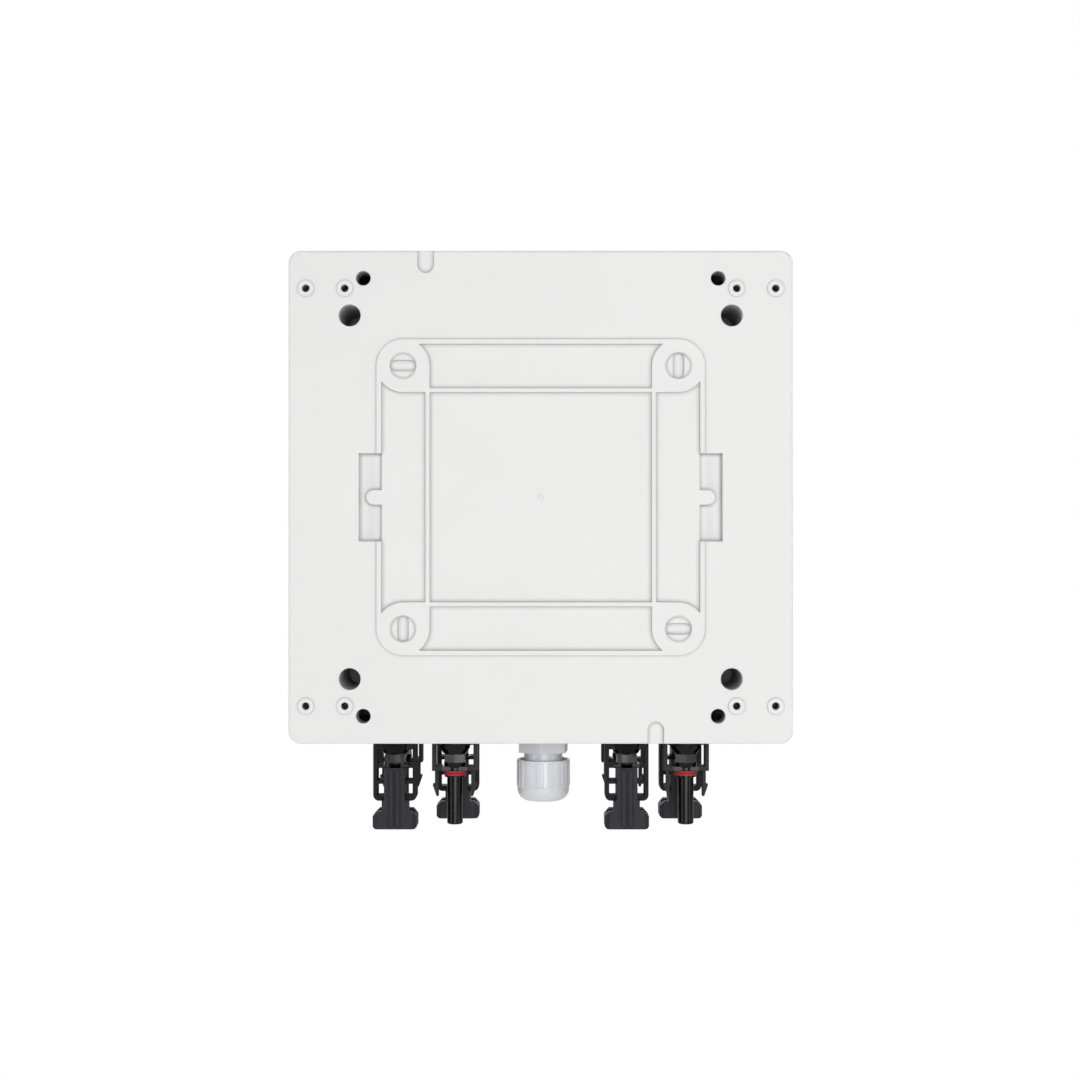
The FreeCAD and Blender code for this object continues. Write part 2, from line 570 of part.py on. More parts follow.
def make_rail():
    body = new_body("din_rail")
    face = "(dims.rail_front)"
    back = "(dims.rail_front - dims.rail_depth)"
    thick = "dims.rail_thickness"
    half = "dims.rail_height / 2"
    throat = "dims.rail_throat / 2"
    side = sketch_on(body, "YZ_Plane", "section")
    upper = [(f"-{back}", throat), (f"-({face} - {thick})", throat), (f"-({face} - {thick})", half),
             (f"-{face}", half), (f"-{face}", f"{throat} - {thick}"),
             (f"-({back} + {thick})", f"{throat} - {thick}")]
    lower = [(y, f"-({z})") for y, z in reversed(upper)]
    polygon(side, upper + lower)
    grow(body, "rail", side, "dims.module_count * dims.module_pitch + 2 * dims.rail_end", True)
    discs(body, "rail_holes", back, thick, rail_spots, "dims.rail_screw_radius + dims.panel_hole_gap", cut)
    keep(body, "din_rail")
    group("rail_screws", [
        make_screw(f"rail_screw_{index}", x, f"{back} + {thick}", z, "dims.rail_screw_head",
                   "dims.rail_head_height", "dims.rail_screw_radius - dims.ring_gap",
                   "dims.rail_screw_length", "dims.rail_screw_slot", outwards)
        for index, (x, z) in enumerate(rail_spots)])


def module_x(first, count):
    return f"(({first} + {count} / 2 - dims.module_count / 2) * dims.module_pitch)"


def make_device(name, first, count, poles, levers):
    # A modular device seen from its side: a notch for the rail, sloped shoulders and a nose.
    body = new_body(name)
    back = "-(dims.rail_front - dims.device_back)"
    shoulder = "-(dims.rail_front + dims.shoulder)"
    slope = "-(dims.rail_front + dims.shoulder - dims.shoulder_slope)"
    nose = "-(dims.rail_front + dims.nose)"
    lip = "-(dims.rail_front - dims.rail_thickness - dims.rail_gap)"
    notch = "dims.rail_height / 2 + dims.rail_gap"
    hook = "dims.rail_height / 2 - dims.rail_thickness - dims.rail_gap"
    upper = [("-dims.rail_front", notch), (lip, notch), (lip, hook), (back, hook),
             (back, "dims.device_half"), (slope, "dims.device_half"),
             (shoulder, "dims.device_half - dims.shoulder_slope"),
             (shoulder, "dims.nose_half"), (nose, "dims.nose_half")]
    lower = [(y, f"-({z})") for y, z in reversed(upper)]
    side = sketch_on(body, "YZ_Plane", "profile")
    polygon(side, upper + lower)
    grow(body, "moulding", side, f"{count} * dims.module_pitch - dims.module_gap", True)
    front = value(nose)
    dress(body, "Fillet", "nose_edges", "dims.nose_round", lambda edge: runs(edge, "x")
          and abs(edge.BoundBox.YMin - front) < 1e-3)
    middles = [f"(({index} - ({poles} - 1) / 2) * dims.module_pitch)" for index in range(poles)]
    for label, level in (("top", "dims.device_half - dims.terminal_depth"),
                         ("bottom", "-dims.device_half")):
        mouths = sketch_on(body, "XY_Plane", f"{label}_terminals", level)
        for middle in middles:
            centred(mouths, "dims.terminal_size", "dims.terminal_size", middle,
                    "-(dims.rail_front + dims.terminal_centre)")
        cut(body, f"{label}_mouths", mouths, "dims.terminal_depth")
    discs(body, "screw_mouths", "dims.rail_front + dims.shoulder - dims.terminal_hole_depth",
          "dims.terminal_hole_depth", [(middle, f"{level} * dims.terminal_hole_z")
                                       for middle in middles for level in (1, -1)],
          "dims.terminal_hole_radius", cut)
    if levers:
        for index, middle in enumerate(middles):
            hub = sketch_on(body, "YZ_Plane", f"hub_outline_{index}",
                            f"{middle} - dims.lever_width / 2 - dims.lever_gap")
            circle(hub, "-(dims.rail_front + dims.lever_axis)", "0", "dims.lever_hub + dims.lever_gap")
            cut(body, f"hub_space_{index}", hub, "dims.lever_width + 2 * dims.lever_gap")
    place(body, module_x(first, count))
    keep(body, name)


def make_lever(name, first, poles):
    # The handle stands at its off position, turned down from the straight-out line.
    body = new_body(name)
    middles = [f"(({index} - ({poles} - 1) / 2) * dims.module_pitch)" for index in range(poles)]

    def spot(reach, offset):
        return (f"-({reach}) * cos(dims.lever_off) + ({offset}) * sin(dims.lever_off)",
                f"-({reach}) * sin(dims.lever_off) - ({offset}) * cos(dims.lever_off)")

    for index, middle in enumerate(middles):
        hub = sketch_on(body, "YZ_Plane", f"hub_outline_{index}", f"{middle} - dims.lever_width / 2")
        circle(hub, "0", "0", "dims.lever_hub")
        grow(body, f"hub_{index}", hub, "dims.lever_width")
        handle = sketch_on(body, "YZ_Plane", f"handle_outline_{index}", f"{middle} - dims.handle_width / 2")
        polygon(handle, [spot("0", "-dims.handle_root"), spot("dims.handle_reach", "-dims.handle_tip"),
                         spot("dims.handle_reach", "dims.handle_tip"), spot("0", "dims.handle_root")])
        grow(body, f"handle_{index}", handle, "dims.handle_width")
    if poles > 1:
        tie = sketch_on(body, "YZ_Plane", "tie_outline",
                        f"-(({poles} - 1) * dims.module_pitch + dims.handle_width) / 2")
        polygon(tie, [spot("dims.tie_root", "-dims.tie_half"), spot("dims.handle_reach", "-dims.tie_half"),
                      spot("dims.handle_reach", "dims.tie_half"), spot("dims.tie_root", "dims.tie_half")])
        grow(body, "tie", tie, f"({poles} - 1) * dims.module_pitch + dims.handle_width")
    place(body, module_x(first, poles), "dims.rail_front + dims.lever_axis")
    keep(body, name)


def make_devices():
    # One module for each string, then the main breaker and the surge protector on two modules each
    for index in range(len(strings)):
        make_device(f"string_breaker_{index + 1}", index, 1, 1, True)
        make_lever(f"string_lever_{index + 1}", index, 1)
    make_device("main_breaker", len(strings), 2, 2, True)
    make_lever("main_lever", len(strings), 2)
    make_device("surge_protector", len(strings) + 2, 2, 2, False)


def make_busbar():
    # A copper comb: one tooth in the top terminal of each string breaker and of the main breaker
    body = new_body("positive_busbar")
    start = "dims.rail_front + dims.terminal_centre - dims.comb_thickness / 2"
    left = f"{module_x(0, 1)} - dims.comb_tooth / 2"
    right = f"{module_x(len(strings), 1)} + dims.comb_tooth / 2"
    spine = sketch_on(body, "XZ_Plane", "spine_outline", start)
    low = "dims.device_half + dims.comb_rise"
    rectangle(spine, left, right, low, f"{low} + dims.comb_height")
    grow(body, "spine", spine, "dims.comb_thickness")
    teeth = sketch_on(body, "XZ_Plane", "teeth_outline", start)
    for first in range(len(strings) + 1):
        tooth = module_x(first, 1)
        rectangle(teeth, f"{tooth} - dims.comb_tooth / 2", f"{tooth} + dims.comb_tooth / 2",
                  "dims.device_half - dims.terminal_depth + dims.seat_gap", low)
    grow(body, "teeth", teeth, "dims.comb_thickness")
    keep(body, "positive_busbar")


def make_terminal_bar(name, side):
    holder = new_body(f"{name}_holder")
    block = sketch_on(holder, "XZ_Plane", "holder_outline", floor_inside)
    centred(block, "dims.bar_length + 2 * dims.bar_base_lip", "dims.bar_height",
            f"{side} * dims.bar_x", "-dims.bar_z")
    grow(holder, "holder", block, "dims.bar_base")
    keep(holder, f"{name}_holder")

    bar = new_body(name)
    outline = sketch_on(bar, "XZ_Plane", "bar_outline", f"{floor_inside} + dims.bar_base")
    centred(outline, "dims.bar_length", "dims.bar_height", f"{side} * dims.bar_x", "-dims.bar_z")
    grow(bar, "bar", outline, "dims.bar_depth")
    spots = [f"({side} * dims.bar_x + ({index} - (dims.bar_hole_count - 1) / 2) * dims.bar_hole_pitch)"
             for index in range(int(value("dims.bar_hole_count")))]
    holes = sketch_on(bar, "XY_Plane", "wire_holes", "-dims.bar_z - dims.bar_height / 2")
    for x in spots:
        circle(holes, x, f"-({floor_inside} + dims.bar_base + dims.bar_depth / 2)", "dims.bar_hole_radius")
    cut(bar, "wires", holes, "dims.bar_height")
    middle = f"{floor_inside} + dims.bar_base + dims.bar_depth / 2"
    discs(bar, "screw_ways", middle, "dims.bar_depth / 2", [(x, "-dims.bar_z") for x in spots],
          "dims.bar_screw_radius + dims.ring_gap", cut)
    keep(bar, name)
    face = f"{floor_inside} + dims.bar_base + dims.bar_depth"
    return [make_screw(f"{name}_screw_{index}", x, face, "-dims.bar_z", "dims.bar_screw_head",
                       "dims.bar_head_height", "dims.bar_screw_radius", "dims.bar_screw_length",
                       "dims.bar_screw_slot", outwards) for index, x in enumerate(spots)]


def make_cover_screws():
    for index, (x, z) in enumerate(post_spots, 1):
        name = f"cover_screw_{index}"
        body = make_screw(name, x, "dims.cover_front - dims.screw_pocket_depth", z,
                          "dims.screw_head_radius", "dims.screw_head_height", "dims.screw_shank",
                          "dims.screw_length", "dims.screw_slot", outwards)
        keep(body, name)


def add_core(body, lower):
    # Threaded shank through the box wall, sealing flange, bell, hexagon and the cap under it
    spin(body, "core", [("0", "dims.shank_rise"), ("dims.shank_radius", "dims.shank_rise"),
                        ("dims.shank_radius", "-dims.seal_thickness"),
                        ("dims.flange_radius", "-dims.seal_thickness"),
                        ("dims.flange_radius", "-(dims.seal_thickness + dims.flange_thickness)"),
                        ("dims.bell_radius", "-(dims.seal_thickness + dims.flange_thickness)"),
                        ("dims.bell_shoulder", "-dims.bell_turn"), ("dims.bell_foot", "-dims.bell_end"),
                        ("dims.core_radius", "-dims.bell_end"), ("dims.core_radius", "-dims.hex_end"),
                        ("dims.cap_radius", "-dims.cap_end"), ("dims.cap_radius", f"-({lower})"),
                        ("0", f"-({lower})")])
    nut = sketch_on(body, "XY_Plane", "hex_outline", "-dims.hex_end")
    hexagon(nut, "dims.hex_across", "30")
    grow(body, "hex_band", nut, "dims.hex_end - dims.hex_start")


def below(sketch, left, right, start, end):
    rectangle(sketch, left, right, f"-({end})", f"-({start})")


def make_hood(name, x, depth):
    body = new_body(name)
    add_core(body, "dims.column_start + dims.overlap")
    frame = sketch_on(body, "XZ_Plane", "ladder_outline")
    below(frame, "-dims.ladder_width / 2", "dims.ladder_width / 2", "dims.seal_thickness",
          "dims.ladder_end")
    for start, end in (("dims.opening_start", "dims.opening_end"), ("dims.second_start", "dims.second_end"),
                       ("dims.third_start", "dims.third_end")):
        for side in (-1, 1):
            inner = f"{side} * dims.window_inner"
            outer = f"{side} * (dims.ladder_width / 2 - dims.rail_bar)"
            below(frame, *((inner, outer) if side > 0 else (outer, inner)), start, end)
    grow(body, "ladder", frame, "dims.ladder_depth", True)
    foot = value("-dims.ladder_end")
    edge_x = value("dims.ladder_width / 2")
    dress(body, "Fillet", "ladder_corners", "dims.ladder_round", lambda edge: runs(edge, "y")
          and abs(edge.BoundBox.ZMin - foot) < 1e-3 and abs(abs(edge.BoundBox.XMin) - edge_x) < 1e-3)
    column = sketch_on(body, "XZ_Plane", "column_outline")
    below(column, "-dims.column_width / 2", "dims.column_width / 2", "dims.column_start",
          "dims.block_end - dims.overlap")
    grow(body, "column", column, "dims.block_depth", True)
    neck = sketch_on(body, "XZ_Plane", "neck_outline")
    below(neck, "-dims.neck_width / 2", "dims.neck_width / 2", "dims.ladder_end - dims.overlap",
          "dims.block_start + dims.overlap")
    grow(body, "neck", neck, "dims.block_depth", True)

    block = sketch_on(body, "XZ_Plane", "block_outline")
    half = "dims.block_width / 2"
    polygon(block, [(f"-{half}", "-(dims.block_start + dims.block_cut_high)"),
                    (f"-({half} - dims.block_cut_high)", "-dims.block_start"),
                    (f"{half} - dims.block_cut_high", "-dims.block_start"),
                    (half, "-(dims.block_start + dims.block_cut_high)"),
                    (half, "-(dims.block_end - dims.block_cut_low)"),
                    (f"{half} - dims.block_cut_low", "-dims.block_end"),
                    (f"-({half} - dims.block_cut_low)", "-dims.block_end"),
                    (f"-{half}", "-(dims.block_end - dims.block_cut_low)")])
    grow(body, "block", block, "dims.block_depth", True)
    side_x = value(half)
    dress(body, "Chamfer", "block_bevels", "dims.block_bevel", lambda edge: runs(edge, "z")
          and abs(abs(edge.BoundBox.XMin) - side_x) < 1e-3)
    ridges = sketch_on(body, "XZ_Plane", "ridges_outline")
    near = "dims.ridge_space / 2"
    far = "dims.ridge_space / 2 + dims.ridge_width"
    below(ridges, near, far, "dims.column_start + dims.ridge_inset", "dims.block_end - dims.ridge_inset")
    below(ridges, f"-({far})", f"-({near})", "dims.column_start + dims.ridge_inset",
          "dims.block_end - dims.ridge_inset")
    grow(body, "ridges", ridges, "dims.block_depth + 2 * dims.ridge_height", True)

    ways = sketch_on(body, "XY_Plane", "finger_ways_outline", "-dims.block_end")
    for side in (-1, 1):
        centred(ways, "dims.finger_way_out - dims.finger_way_in", "dims.finger_way_depth",
                f"{side} * (dims.finger_way_out + dims.finger_way_in) / 2")
    cut(body, "finger_ways", ways, "dims.block_end - dims.block_start")
    spin(body, "socket", [("0", "-dims.socket_end"), ("dims.socket_radius", "-dims.socket_end"),
                          ("dims.socket_radius", "-(dims.block_end - dims.mouth_depth)"),
                          ("dims.mouth_radius", "-(dims.block_end - dims.mouth_depth)"),
                          ("dims.mouth_radius", "-dims.block_end"), ("0", "-dims.block_end")], "Groove")
    add_rear_bore(body, "dims.socket_end")
    place(body, x, depth, "-dims.box_height / 2")
    keep(body, name)


def add_rear_bore(body, end):
    spin(body, "rear_bore", [("0", "dims.shank_rise"), ("dims.rear_bore", "dims.shank_rise"),
                             ("dims.rear_bore", f"-({end})"), ("0", f"-({end})")], "Groove")


def make_nose(name, x, depth):
    body = new_body(name)
    add_core(body, "dims.yoke_end")
    yoke = sketch_on(body, "XZ_Plane", "yoke_outline")
    below(yoke, "-dims.yoke_width / 2", "dims.yoke_width / 2", "dims.seal_thickness", "dims.yoke_end")
    below(yoke, "-(dims.yoke_width / 2 - dims.yoke_bar)", "dims.yoke_width / 2 - dims.yoke_bar",
          "dims.yoke_open", "dims.yoke_end - dims.yoke_foot")
    grow(body, "yoke", yoke, "dims.yoke_depth", True)
    top = "-(dims.yoke_end - dims.yoke_foot)"
    spin(body, "nose", [("0", top), ("dims.core_radius", top), ("dims.core_radius", "-dims.ring_start"),
                        ("dims.nose_radius", "-dims.ring_start"), ("dims.nose_radius", "-dims.ring_end"),
                        ("dims.nose_collar", "-dims.ring_end"),
                        ("dims.nose_collar", "-(dims.ring_end + dims.nose_collar_length)"),
                        ("dims.nose_radius", "-(dims.ring_end + dims.nose_collar_length)"),
                        ("dims.nose_radius", "-(dims.nose_end - dims.nose_bevel)"),
                        ("dims.nose_radius - dims.nose_bevel", "-dims.nose_end"), ("0", "-dims.nose_end")])
    fingers = sketch_on(body, "XZ_Plane", "fingers_outline")
    out = "dims.finger_out"
    inner = "dims.finger_out - dims.finger_thick"
    root = "dims.yoke_end - dims.overlap"
    finger = [(inner, f"-({root})"), (inner, "-dims.finger_end"),
              (f"{inner} + dims.finger_toe", "-dims.finger_end"),
              ("dims.barb_out", "-(dims.barb_start + dims.barb_face)"),
              ("dims.barb_out", "-dims.barb_start"), (out, "-dims.barb_start"), (out, f"-({root})")]
    polygon(fingers, finger)
    polygon(fingers, [(f"-({px})", pz) for px, pz in reversed(finger)])
    grow(body, "fingers", fingers, "dims.finger_depth", True)
    add_rear_bore(body, "dims.nose_end")
    place(body, x, depth, "-dims.box_height / 2")
    keep(body, name)


def make_ring(name, inner, outer, low, high, x, depth, turn=None):
    body = new_body(name)
    spin(body, "ring", [(inner, low), (outer, low), (outer, high), (inner, high)])
    place(body, x, depth, "-dims.box_height / 2", turn)
    return body


def make_panel_nut(name, x, depth):
    body = new_body(name)
    outline = sketch_on(body, "XY_Plane", "nut_outline", "dims.wall")
    hexagon(outline, "dims.nut_across")
    circle(outline, "0", "0", "dims.shank_radius + dims.nut_gap")
    grow(body, "nut", outline, "dims.nut_thickness")
    place(body, x, depth, "-dims.box_height / 2")
    return body


def make_contacts(index, x, hood, nose):
    outer = "(dims.rear_bore - dims.contact_gap)"
    pin = new_body(f"pin_contact_{index}")
    spin(pin, "pin", [("0", "dims.contact_rise"), (outer, "dims.contact_rise"),
                      (outer, "-(dims.socket_end - dims.seat_gap)"),
                      ("dims.pin_radius", "-(dims.socket_end + dims.pin_shoulder)"),
                      ("dims.pin_radius", "-(dims.pin_end - dims.pin_tip)"),
                      ("dims.pin_radius - dims.pin_tip", "-dims.pin_end"), ("0", "-dims.pin_end")])
    place(pin, x, hood, "-dims.box_height / 2")
    keep(pin, f"pin_contact_{index}")
    sleeve = new_body(f"socket_contact_{index}")
    spin(sleeve, "sleeve", [("0", "dims.contact_rise"), (outer, "dims.contact_rise"),
                            (outer, "-dims.sleeve_end"),
                            ("dims.sleeve_bore", "-dims.sleeve_end"),
                            ("dims.sleeve_bore", "-dims.socket_end"), ("0", "-dims.socket_end")])
    place(sleeve, x, nose, "-dims.box_height / 2")
    keep(sleeve, f"socket_contact_{index}")


def make_connectors():
    seals = []
    nuts = []
    for index, (x, hood, nose) in enumerate(strings, 1):
        make_hood(f"male_housing_{index}", x, hood)
        make_nose(f"female_housing_{index}", x, nose)
        make_contacts(index, x, hood, nose)
        ring = make_ring(f"nose_seal_{index}", "dims.nose_radius + dims.ring_gap", "dims.ring_radius",
                         "-dims.ring_end", "-dims.ring_start", x, nose)
        keep(ring, f"nose_seal_{index}")
        for row, depth in (("hood", hood), ("nose", nose)):
            seals.append(make_ring(f"panel_seal_{row}_{index}", "dims.shank_radius + dims.panel_hole_gap",
                                   "dims.seal_radius", "-dims.seal_thickness", "0", x, depth))
            nuts.append(make_panel_nut(f"panel_nut_{row}_{index}", x, depth))
    group("panel_seals", seals)
    group("panel_nuts", nuts)


def make_gland():
    across = "-dims.gland_offset"
    washer = make_ring("gland_washer", "dims.gland_thread + dims.gland_gap", "dims.washer_radius",
                       "-dims.washer_thickness", "0", across, "dims.gland_depth")
    keep(washer, "gland_washer")

    body = new_body("gland_body")
    spin(body, "thread", [("0", "-dims.nose_thread_end"), ("dims.nose_thread", "-dims.nose_thread_end"),
                          ("dims.nose_thread", "-dims.gland_neck_end"),
                          ("dims.gland_neck", "-dims.gland_neck_end"),
                          ("dims.gland_neck", "-dims.gland_hex_end"),
                          ("dims.gland_thread", "-dims.gland_hex_end"),
                          ("dims.gland_thread", "dims.gland_rise"), ("0", "dims.gland_rise")])
    hexes = sketch_on(body, "XY_Plane", "hex_outline", "-dims.gland_hex_end")
    hexagon(hexes, "dims.gland_across", "dims.gland_turn")
    grow(body, "hex", hexes, "dims.gland_hex_end - dims.washer_thickness")
    spin(body, "bore", [("0", "-dims.nose_thread_end"), ("dims.claw_bore", "-dims.nose_thread_end"),
                        ("dims.claw_bore", "-dims.claw_start"), ("dims.gland_bore", "-dims.claw_start"),
                        ("dims.gland_bore", "dims.gland_rise"), ("0", "dims.gland_rise")], "Groove")
    place(body, across, "dims.gland_depth", "-dims.box_height / 2")
    keep(body, "gland_body")

    lock = new_body("gland_lock_nut")
    outline = sketch_on(lock, "XY_Plane", "nut_outline", "dims.wall")
    hexagon(outline, "dims.lock_across")
    circle(outline, "0", "0", "dims.gland_thread + dims.nut_gap")
    grow(lock, "nut", outline, "dims.lock_thickness")
    place(lock, across, "dims.gland_depth", "-dims.box_height / 2")
    keep(lock, "gland_lock_nut")

    insert = make_ring("gland_insert", "dims.insert_bore", "dims.claw_bore - dims.ring_gap",
                       "-dims.insert_end", "-dims.insert_start", across, "dims.gland_depth")
    keep(insert, "gland_insert")

    dome = new_body("gland_dome_nut")
    inside = "(dims.nose_thread + dims.door_gap)"
    spin(dome, "dome", [(inside, "-(dims.dome_start + dims.dome_lip)"),
                        (f"{inside} + dims.dome_lip", "-dims.dome_start"),
                        ("dims.dome_side - dims.dome_bevel", "-dims.dome_start"),
                        ("dims.dome_side", "-(dims.dome_start + dims.dome_bevel)"),
                        ("dims.dome_side", "-dims.dome_straight_end"),
                        ("dims.dome_shoulder", "-dims.dome_shoulder_end"),
                        ("dims.dome_shoulder", "-dims.dome_end"), ("dims.dome_hole", "-dims.dome_end"),
                        ("dims.dome_hole", "-(dims.dome_end - dims.dome_wall)"),
                        (inside, "-(dims.nose_thread_end + dims.dome_clear)")])
    end = value("-dims.dome_end")
    rim = value("dims.dome_shoulder")
    dress(dome, "Fillet", "dome_end", "dims.dome_round",
          lambda edge: lies(edge, "z", end) and abs(edge.BoundBox.XMax - rim) < 1e-3)
    rib = sketch_on(dome, "XY_Plane", "rib_outline", "-dims.dome_straight_end")
    rectangle(rib, "dims.dome_side - dims.rib_root", "dims.dome_side + dims.rib_height",
              "-dims.rib_width / 2", "dims.rib_width / 2")
    ribs = grow(dome, "rib", rib,
                "dims.dome_straight_end - dims.dome_start - dims.dome_bevel - dims.rib_margin")
    wheel = dome.newObject("PartDesign::PolarPattern", "ribs")
    wheel.Originals = [ribs]
    wheel.Axis = (rib, ["N_Axis"])
    wheel.Angle = 360
    wheel.setExpression("Occurrences", "dims.rib_count")
    dome.Tip = wheel
    place(dome, across, "dims.gland_depth", "-dims.box_height / 2")
    keep(dome, "gland_dome_nut")


make_back_box()
make_gasket()
make_cover()
make_door()
make_hinge_pins()
make_cover_screws()
make_rail()
make_devices()
make_busbar()
group("bar_screws", make_terminal_bar("negative_bar", -1) + make_terminal_bar("earth_bar", 1))
make_connectors()
make_gland()

doc.recompute()
failed = [item.Name for item in doc.Objects if "Invalid" in item.State or "Error" in item.State]
if failed:
    raise RuntimeError(f"failed objects: {failed}")
os.makedirs("parts", exist_ok=True)
for part in parts:
    shape = part.Shape
    if shape.isNull() or not shape.isValid():
        raise RuntimeError(f"bad shape: {part.Label}")
    shape.exportStep(f"parts/{part.Label}.step")
    print(part.Label, round(shape.Volume / 1000, 2), "cm3", len(shape.Solids))
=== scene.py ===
import json
import math

import bmesh
import bpy
from mathutils import Matrix, Vector


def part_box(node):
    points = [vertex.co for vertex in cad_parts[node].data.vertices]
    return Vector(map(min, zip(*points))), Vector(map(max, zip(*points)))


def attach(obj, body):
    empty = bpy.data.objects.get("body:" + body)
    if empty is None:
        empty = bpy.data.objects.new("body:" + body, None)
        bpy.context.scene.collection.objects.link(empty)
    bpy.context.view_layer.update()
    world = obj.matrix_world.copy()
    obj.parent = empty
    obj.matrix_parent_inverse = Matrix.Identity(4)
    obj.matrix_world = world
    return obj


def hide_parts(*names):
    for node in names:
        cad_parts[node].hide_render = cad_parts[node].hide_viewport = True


# Solar combiner box, seen from its back as in the photograph. Metres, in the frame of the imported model.
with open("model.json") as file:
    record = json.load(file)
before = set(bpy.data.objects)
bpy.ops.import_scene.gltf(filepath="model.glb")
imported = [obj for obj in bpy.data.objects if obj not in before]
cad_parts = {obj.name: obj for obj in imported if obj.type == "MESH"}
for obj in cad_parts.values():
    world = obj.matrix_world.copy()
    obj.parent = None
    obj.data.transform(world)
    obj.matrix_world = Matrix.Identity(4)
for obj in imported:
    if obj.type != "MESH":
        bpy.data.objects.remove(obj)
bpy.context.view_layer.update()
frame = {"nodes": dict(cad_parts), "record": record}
nodes = frame["nodes"]
print("frame loaded:", len(nodes), "nodes")

root = "enclosure"
strings = (1, 2, 3, 4)
sameSpot = 0.002    # vertices closer than this in millimetres are one
shadeSamples = 6    # rays that the crease and edge shaders send
plainWhite = {"Color": (1, 1, 1, 1), "Strength": 1.0}


# ---- camera and light
view = {
    "distance": 0.7443,       # from the lens to the ribs of the back
    "aside": 0.0003,
    "height": -0.0245,        # the photograph looks level, a little under the middle of the box
    "lens": 58.33,
    "sensor": 36.0,
    "shift": 0.0137,
}
studio = {
    "floorHeight": -0.42,     # the box hangs on its wall screws, well over the floor
    "floorSize": 14.0,
    "floorColour": "#eaeae8",
    "fadeFrom": 0.42,         # the floor turns to plain white between these distances from the box
    "fadeTo": 0.56,
    "ambient": 0.31,
    # A soft box near the camera, one before the front, one for each side, and two slim ones for the streaks
    "lamps": {
        "backKey": {"place": (-0.18, 1.6, 0.06), "size": 0.9, "power": 13.1},
        "frontKey": {"place": (0.45, -1.4, 1.2), "size": 1.1, "power": 12.0},
        "leftFill": {"place": (1.4, -0.9, 0.5), "size": 0.9, "power": 8.5},
        "rightFill": {"place": (-1.4, -0.9, 0.5), "size": 0.9, "power": 8.5},
        "leftStreak": {"place": (1.35, 0.8, -0.1), "size": 0.07, "tall": 0.9, "power": 2.4},
        "rightStreak": {"place": (-1.35, 0.8, -0.1), "size": 0.07, "tall": 0.9, "power": 2.4},
    },
}


def mm(value):
    return value / 1000


def perMetre(size):
    # Texture scale on Object coordinates for a pattern of this size in millimetres
    return 1000 / size


def linear(code):
    parts = [int(code[i:i + 2], 16) / 255 for i in (1, 3, 5)]
    return tuple(p / 12.92 if p <= 0.04045 else ((p + 0.055) / 1.055) ** 2.4 for p in parts) + (1.0,)


def addNode(tree, kind, inputs=None, **settings):
    made = tree.nodes.new("ShaderNode" + kind)
    for name, setting in settings.items():
        setattr(made, name, setting)
    for name, given in (inputs or {}).items():
        if isinstance(given, bpy.types.NodeSocket):
            tree.links.new(given, made.inputs[name])
        else:
            made.inputs[name].default_value = given
    return made


def makeCamera():
    data = bpy.data.cameras.new("photoCamera")
    data.lens = view["lens"]
    data.sensor_width = view["sensor"]
    data.shift_y = view["shift"]
    camera = bpy.data.objects.new("photoCamera", data)
    camera.location = (view["aside"], view["distance"], view["height"])
    camera.rotation_euler = (math.radians(90), 0, math.radians(180))
    bpy.context.scene.collection.objects.link(camera)
    bpy.context.scene.camera = camera


def makeLamp(name, lamp):
    data = bpy.data.lights.new(name, "AREA")
    data.size = lamp["size"]
    if "tall" in lamp:
        data.shape = "RECTANGLE"
        data.size_y = lamp["tall"]
    data.energy = lamp["power"]
    item = bpy.data.objects.new(name, data)
    item.location = lamp["place"]
    item.rotation_euler = (-Vector(lamp["place"])).to_track_quat("-Z", "Y").to_euler()
    bpy.context.scene.collection.objects.link(item)


def makeAir():
    # The lens, mirrors and the clear door see plain white. Matt surfaces get only the ambient share of it.
    world = bpy.data.worlds.new("studioAir")
    world.use_nodes = True
    bpy.context.scene.world = world
    tree = world.node_tree
    tree.nodes.clear()
    path = addNode(tree, "LightPath")
    seen = addNode(tree, "Math", {0: path.outputs["Is Camera Ray"], 1: path.outputs["Is Glossy Ray"]},
                   operation="MAXIMUM")
    seen = addNode(tree, "Math", {0: seen.outputs[0], 1: path.outputs["Is Transmission Ray"]},
                   operation="MAXIMUM")
    air = addNode(tree, "Background", dict(plainWhite, Strength=studio["ambient"]))
    white = addNode(tree, "Background", plainWhite)
    mixed = addNode(tree, "MixShader", {0: seen.outputs[0], 1: air.outputs[0], 2: white.outputs[0]})
    addNode(tree, "OutputWorld", {"Surface": mixed.outputs[0]})


def makeFloor():
    # Pale paper, plain white to the lens away from the box
    paper = bpy.data.materials.new("paleFloor")
    paper.use_nodes = True
    tree = paper.node_tree
    tree.nodes.clear()
    path = addNode(tree, "LightPath")
    place = addNode(tree, "TexCoord")
    reach = addNode(tree, "VectorMath", {0: place.outputs["Object"]}, operation="LENGTH")
    far = addNode(tree, "MapRange", {"Value": reach.outputs["Value"], "From Min": studio["fadeFrom"],
                                     "From Max": studio["fadeTo"]}, interpolation_type="SMOOTHSTEP")
    fade = addNode(tree, "Math", {0: far.outputs[0], 1: path.outputs["Is Camera Ray"]}, operation="MULTIPLY")
    matt = addNode(tree, "BsdfDiffuse", {"Color": linear(studio["floorColour"])})
    glow = addNode(tree, "Emission", plainWhite)
    mixed = addNode(tree, "MixShader", {0: fade.outputs[0], 1: matt.outputs[0], 2: glow.outputs[0]})
    addNode(tree, "OutputMaterial", {"Surface": mixed.outputs[0]})

    shape = bmesh.new()
    bmesh.ops.create_grid(shape, x_segments=1, y_segments=1, size=studio["floorSize"] / 2)
    mesh = bpy.data.meshes.new("studioFloor")
    shape.to_mesh(mesh)
    shape.free()
    mesh.materials.append(paper)
    floor = bpy.data.objects.new("studioFloor", mesh)
    floor.location = (0, 0, studio["floorHeight"])
    bpy.context.scene.collection.objects.link(floor)


